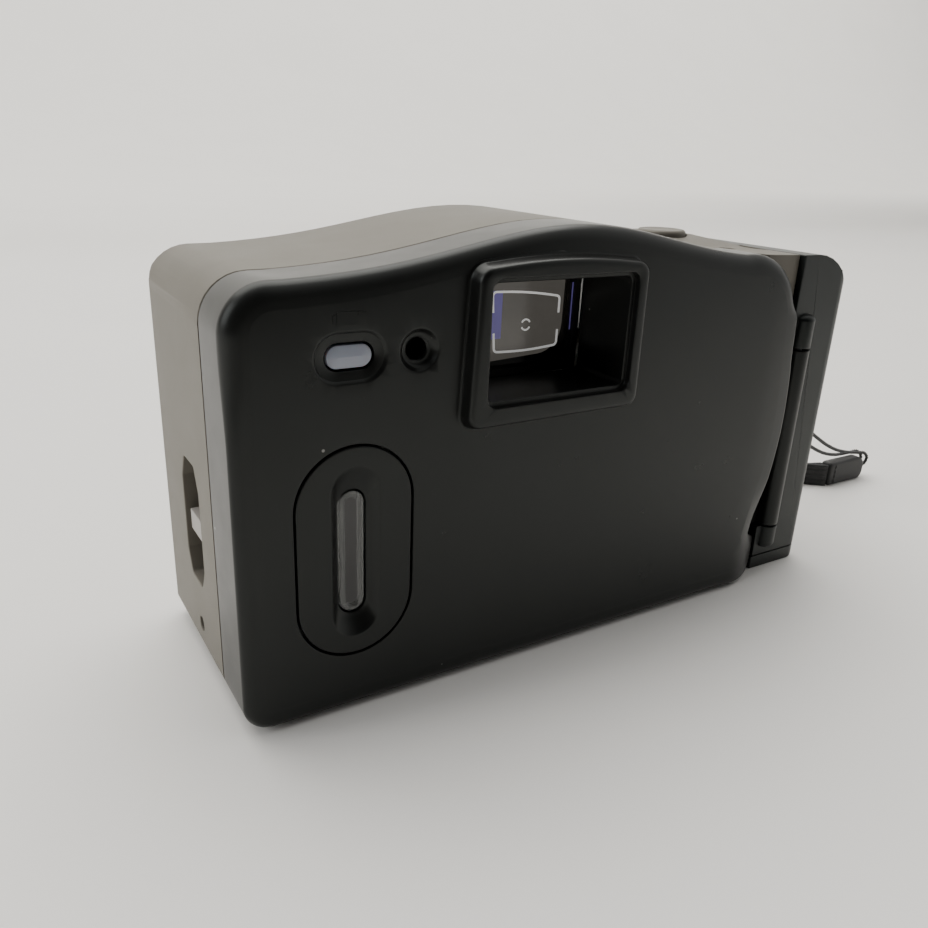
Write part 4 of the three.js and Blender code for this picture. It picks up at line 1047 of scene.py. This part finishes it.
def stitch_row(count, spacing):
    """A node group that sets one stitch at every point of a line and makes them real."""
    group = bpy.data.node_groups.new("stitch row", "GeometryNodeTree")
    stitch_in = group.interface.new_socket("Stitch", in_out="INPUT", socket_type="NodeSocketGeometry")
    count_in = group.interface.new_socket("Count", in_out="INPUT", socket_type="NodeSocketInt")
    space_in = group.interface.new_socket("Spacing", in_out="INPUT", socket_type="NodeSocketVector")
    group.interface.new_socket("Stitches", in_out="OUTPUT", socket_type="NodeSocketGeometry")
    nodes, links = group.nodes, group.links
    start, end = nodes.new("NodeGroupInput"), nodes.new("NodeGroupOutput")
    line, place_them = nodes.new("GeometryNodeMeshLine"), nodes.new("GeometryNodeInstanceOnPoints")
    real, paint = nodes.new("GeometryNodeRealizeInstances"), nodes.new("GeometryNodeSetMaterial")
    paint.inputs["Material"].default_value = THREAD
    links.new(start.outputs["Count"], line.inputs["Count"])
    links.new(start.outputs["Spacing"], line.inputs["Offset"])
    links.new(line.outputs["Mesh"], place_them.inputs["Points"])
    links.new(start.outputs["Stitch"], place_them.inputs["Instance"])
    links.new(place_them.outputs["Instances"], real.inputs["Geometry"])
    links.new(real.outputs["Geometry"], paint.inputs["Geometry"])
    links.new(paint.outputs["Geometry"], end.inputs["Stitches"])
    return group, ((count_in.identifier, count), (space_in.identifier, spacing))


def one_stitch():
    """A short thread bowed out of the cloth, about its own middle, in metres."""
    path = [Vector((0, 0.00012 + 0.00016 * math.sin(math.pi * k / 8), (k / 8 - 0.5) * 0.0011))
            for k in range(9)]
    points, faces, sides = [], [], 8
    for k, middle in enumerate(path):
        radius = 0.00013 * (0.45 if k in (0, 8) else 1)
        points += [middle + Vector((radius * math.cos(math.tau * j / sides),
                                    radius * math.sin(math.tau * j / sides), 0)) for j in range(sides)]
    for k in range(8):
        faces += [(k * sides + j, k * sides + (j + 1) % sides, (k + 1) * sides + (j + 1) % sides,
                   (k + 1) * sides + j) for j in range(sides)]
    faces += [tuple(range(sides))[::-1], tuple(range(8 * sides, 9 * sides))]
    return points, faces


stitches = new_piece("keeper_stitches", *one_stitch(), THREAD)
group, settings = stitch_row(4, (0.0, 0.0, 0.0014))
rows = stitches.modifiers.new("row", "NODES")
rows.node_group = group
for identifier, value in settings:
    rows[identifier] = value
apply_all(stitches)
stitches.data.transform(Matrix.Translation(place(175.0, extent("strap_tab")[3] - 0.1, 1.15)))
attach(stitches, "camera_body")
print("keeper and", settings[0][1], "stitches")

# %% Inner pieces with a better material
SLOT_FINISH = {
    "hinge_pin": (STEEL, "steel"), "strap_lug": (STEEL, "steel"),
    "side_screw": (DARK_METAL, "blackened_metal"),
    "pressure_plate": (DARK_METAL, "blackened_metal"), "pressure_plate_spring": (STEEL, "steel"),
    "latch_spring": (STEEL, "steel"), "film_chamber": (INNER, "inner_plastic"),
    "take_up_spool": (LIGHT, "light_plastic"),
    "idler_gear": (LIGHT, "light_plastic"), "idler_stud": (STEEL, "steel"), "motor_pinion": (BRASS, "brass"),
    "drive_motor": (STEEL, "steel"), "film_sprocket": (INNER, "inner_plastic"),
    "rewind_fork": (STEEL, "steel"),
    "rewind_button": (INNER, "inner_plastic"), "battery": (CELL, "steel"),
    "battery_contact": (STEEL, "steel"),
    "shutter_housing": (INNER, "inner_plastic"), "shutter_blade_left": (DARK_METAL, "blackened_metal"),
    "shutter_blade_right": (DARK_METAL, "blackened_metal"), "viewfinder_tube": (INNER, "inner_plastic"),
    "flash_capacitor": (SLEEVE, "capacitor_sleeve"), "main_circuit_board": (BOARD, "circuit_board"),
    "flash_reflector": (STEEL, "steel"), "flash_tube": (GLASS, "clear_lens"),
    "counter_display": (DARK_METAL, "blackened_metal"),
    "counter_window": (WINDOW, "clear_lens"), "bottom_screw_1": (DARK_METAL, "steel"),
    "bottom_screw_2": (DARK_METAL, "steel"),
    "viewfinder_window": (WINDOW, "clear_lens"), "flash_window": (WINDOW, "clear_lens"),
    "autofocus_emitter": (WINDOW, "clear_lens"),
    "autofocus_receiver": (WINDOW, "clear_lens"), "self_timer_lamp": (RED_LAMP, "light_plastic"),
}
for node, (material, slot_name) in SLOT_FINISH.items():
    NODES[node].data.materials.clear()
    NODES[node].data.materials.append(material)
print(len(SLOT_FINISH), "CAD nodes refinished")

# %% The strap rides on the camera
for name, (piece, path, length) in cords.items():
    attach(piece, "camera_body")
    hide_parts(name)
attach(webbing, "camera_body")
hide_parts("strap_webbing")

# %% [markdown]
# ## Floor and light
# A plain pale floor and soft light: one wide panel above and behind the camera's front, a weaker one on the
# latch side, and an even grey world. The world is darker low down behind the viewer, as a room is.

# %% Floor
def backdrop():
    """A table that sweeps up into a wall far behind; its near edge ends just past the camera's back."""
    profile = [(0.26, 0.0), (-1.5, 0.0)]
    profile += [(-1.5 - 1.2 * math.sin(a), 1.2 - 1.2 * math.cos(a))
                for a in (math.pi / 2 * k / 14 for k in range(1, 15))]
    profile += [(-2.7, 4.0)]
    points = [(x, y, z) for y, z in profile for x in (-7.0, 7.0)]
    faces = [(2 * k, 2 * k + 1, 2 * k + 3, 2 * k + 2) for k in range(len(profile) - 1)]
    material = finish("pale table", (0.93, 0.915, 0.885), 0.6, shade=0.01, cloud=8, grain=400, bump=0.02)
    new_piece("backdrop", points, faces, material)


backdrop()

# %% Lights
def panel(name, at, size, watts, colour=(1, 1, 1), target=(0, 0, 0.03)):
    light = bpy.data.lights.new(name, "AREA")
    light.shape, light.size, light.size_y = "RECTANGLE", *size
    light.energy, light.color = watts, colour
    lamp = bpy.data.objects.new(name, light)
    lamp.matrix_world = Matrix.Translation(at) @ (Vector(target) - Vector(at)).to_track_quat("-Z",
                                                                                             "Y").to_matrix().to_4x4()
    bpy.context.scene.collection.objects.link(lamp)


panel("ceiling_panel", (-0.05, -0.45, 1.1), (1.6, 0.9), 16.0, (1.0, 0.98, 0.94))
panel("side_panel", (0.9, -0.05, 0.5), (0.6, 0.6), 3.0, (0.97, 0.985, 1.0))
panel("wall_panel", (-1.2, -1.0, 1.5), (7.0, 1.0), 105.0, (1.0, 0.985, 0.94), (-1.2, -2.7, 1.1))


def room_light():
    world = bpy.data.worlds.new("room")
    bpy.context.scene.world = world
    world.use_nodes = True
    nodes, links = world.node_tree.nodes, world.node_tree.links
    nodes.clear()
    coords = nodes.new("ShaderNodeTexCoord")
    toward = nodes.new("ShaderNodeVectorMath")
    toward.operation = "DOT_PRODUCT"
    toward.inputs[1].default_value = (0.42, 0.88, 0.2)
    links.new(coords.outputs["Generated"], toward.inputs[0])
    ramp = nodes.new("ShaderNodeValToRGB")
    for stop, at, tone in zip(ramp.color_ramp.elements, (0.3, 0.7),
                              ((0.83, 0.82, 0.8, 1), (0.02, 0.02, 0.02, 1))):
        stop.position, stop.color = at, tone
    links.new(toward.outputs["Value"], ramp.inputs["Fac"])
    seen, room = nodes.new("ShaderNodeBackground"), nodes.new("ShaderNodeBackground")
    seen.inputs["Color"].default_value = (0.80, 0.79, 0.765, 1)
    seen.inputs["Strength"].default_value = 0.86
    room.inputs["Strength"].default_value = 0.98
    links.new(ramp.outputs["Color"], room.inputs["Color"])
    path, mix = nodes.new("ShaderNodeLightPath"), nodes.new("ShaderNodeMixShader")
    out = nodes.new("ShaderNodeOutputWorld")
    links.new(path.outputs["Is Camera Ray"], mix.inputs["Fac"])
    links.new(room.outputs[0], mix.inputs[1])
    links.new(seen.outputs[0], mix.inputs[2])
    links.new(mix.outputs[0], out.inputs["Surface"])


room_light()
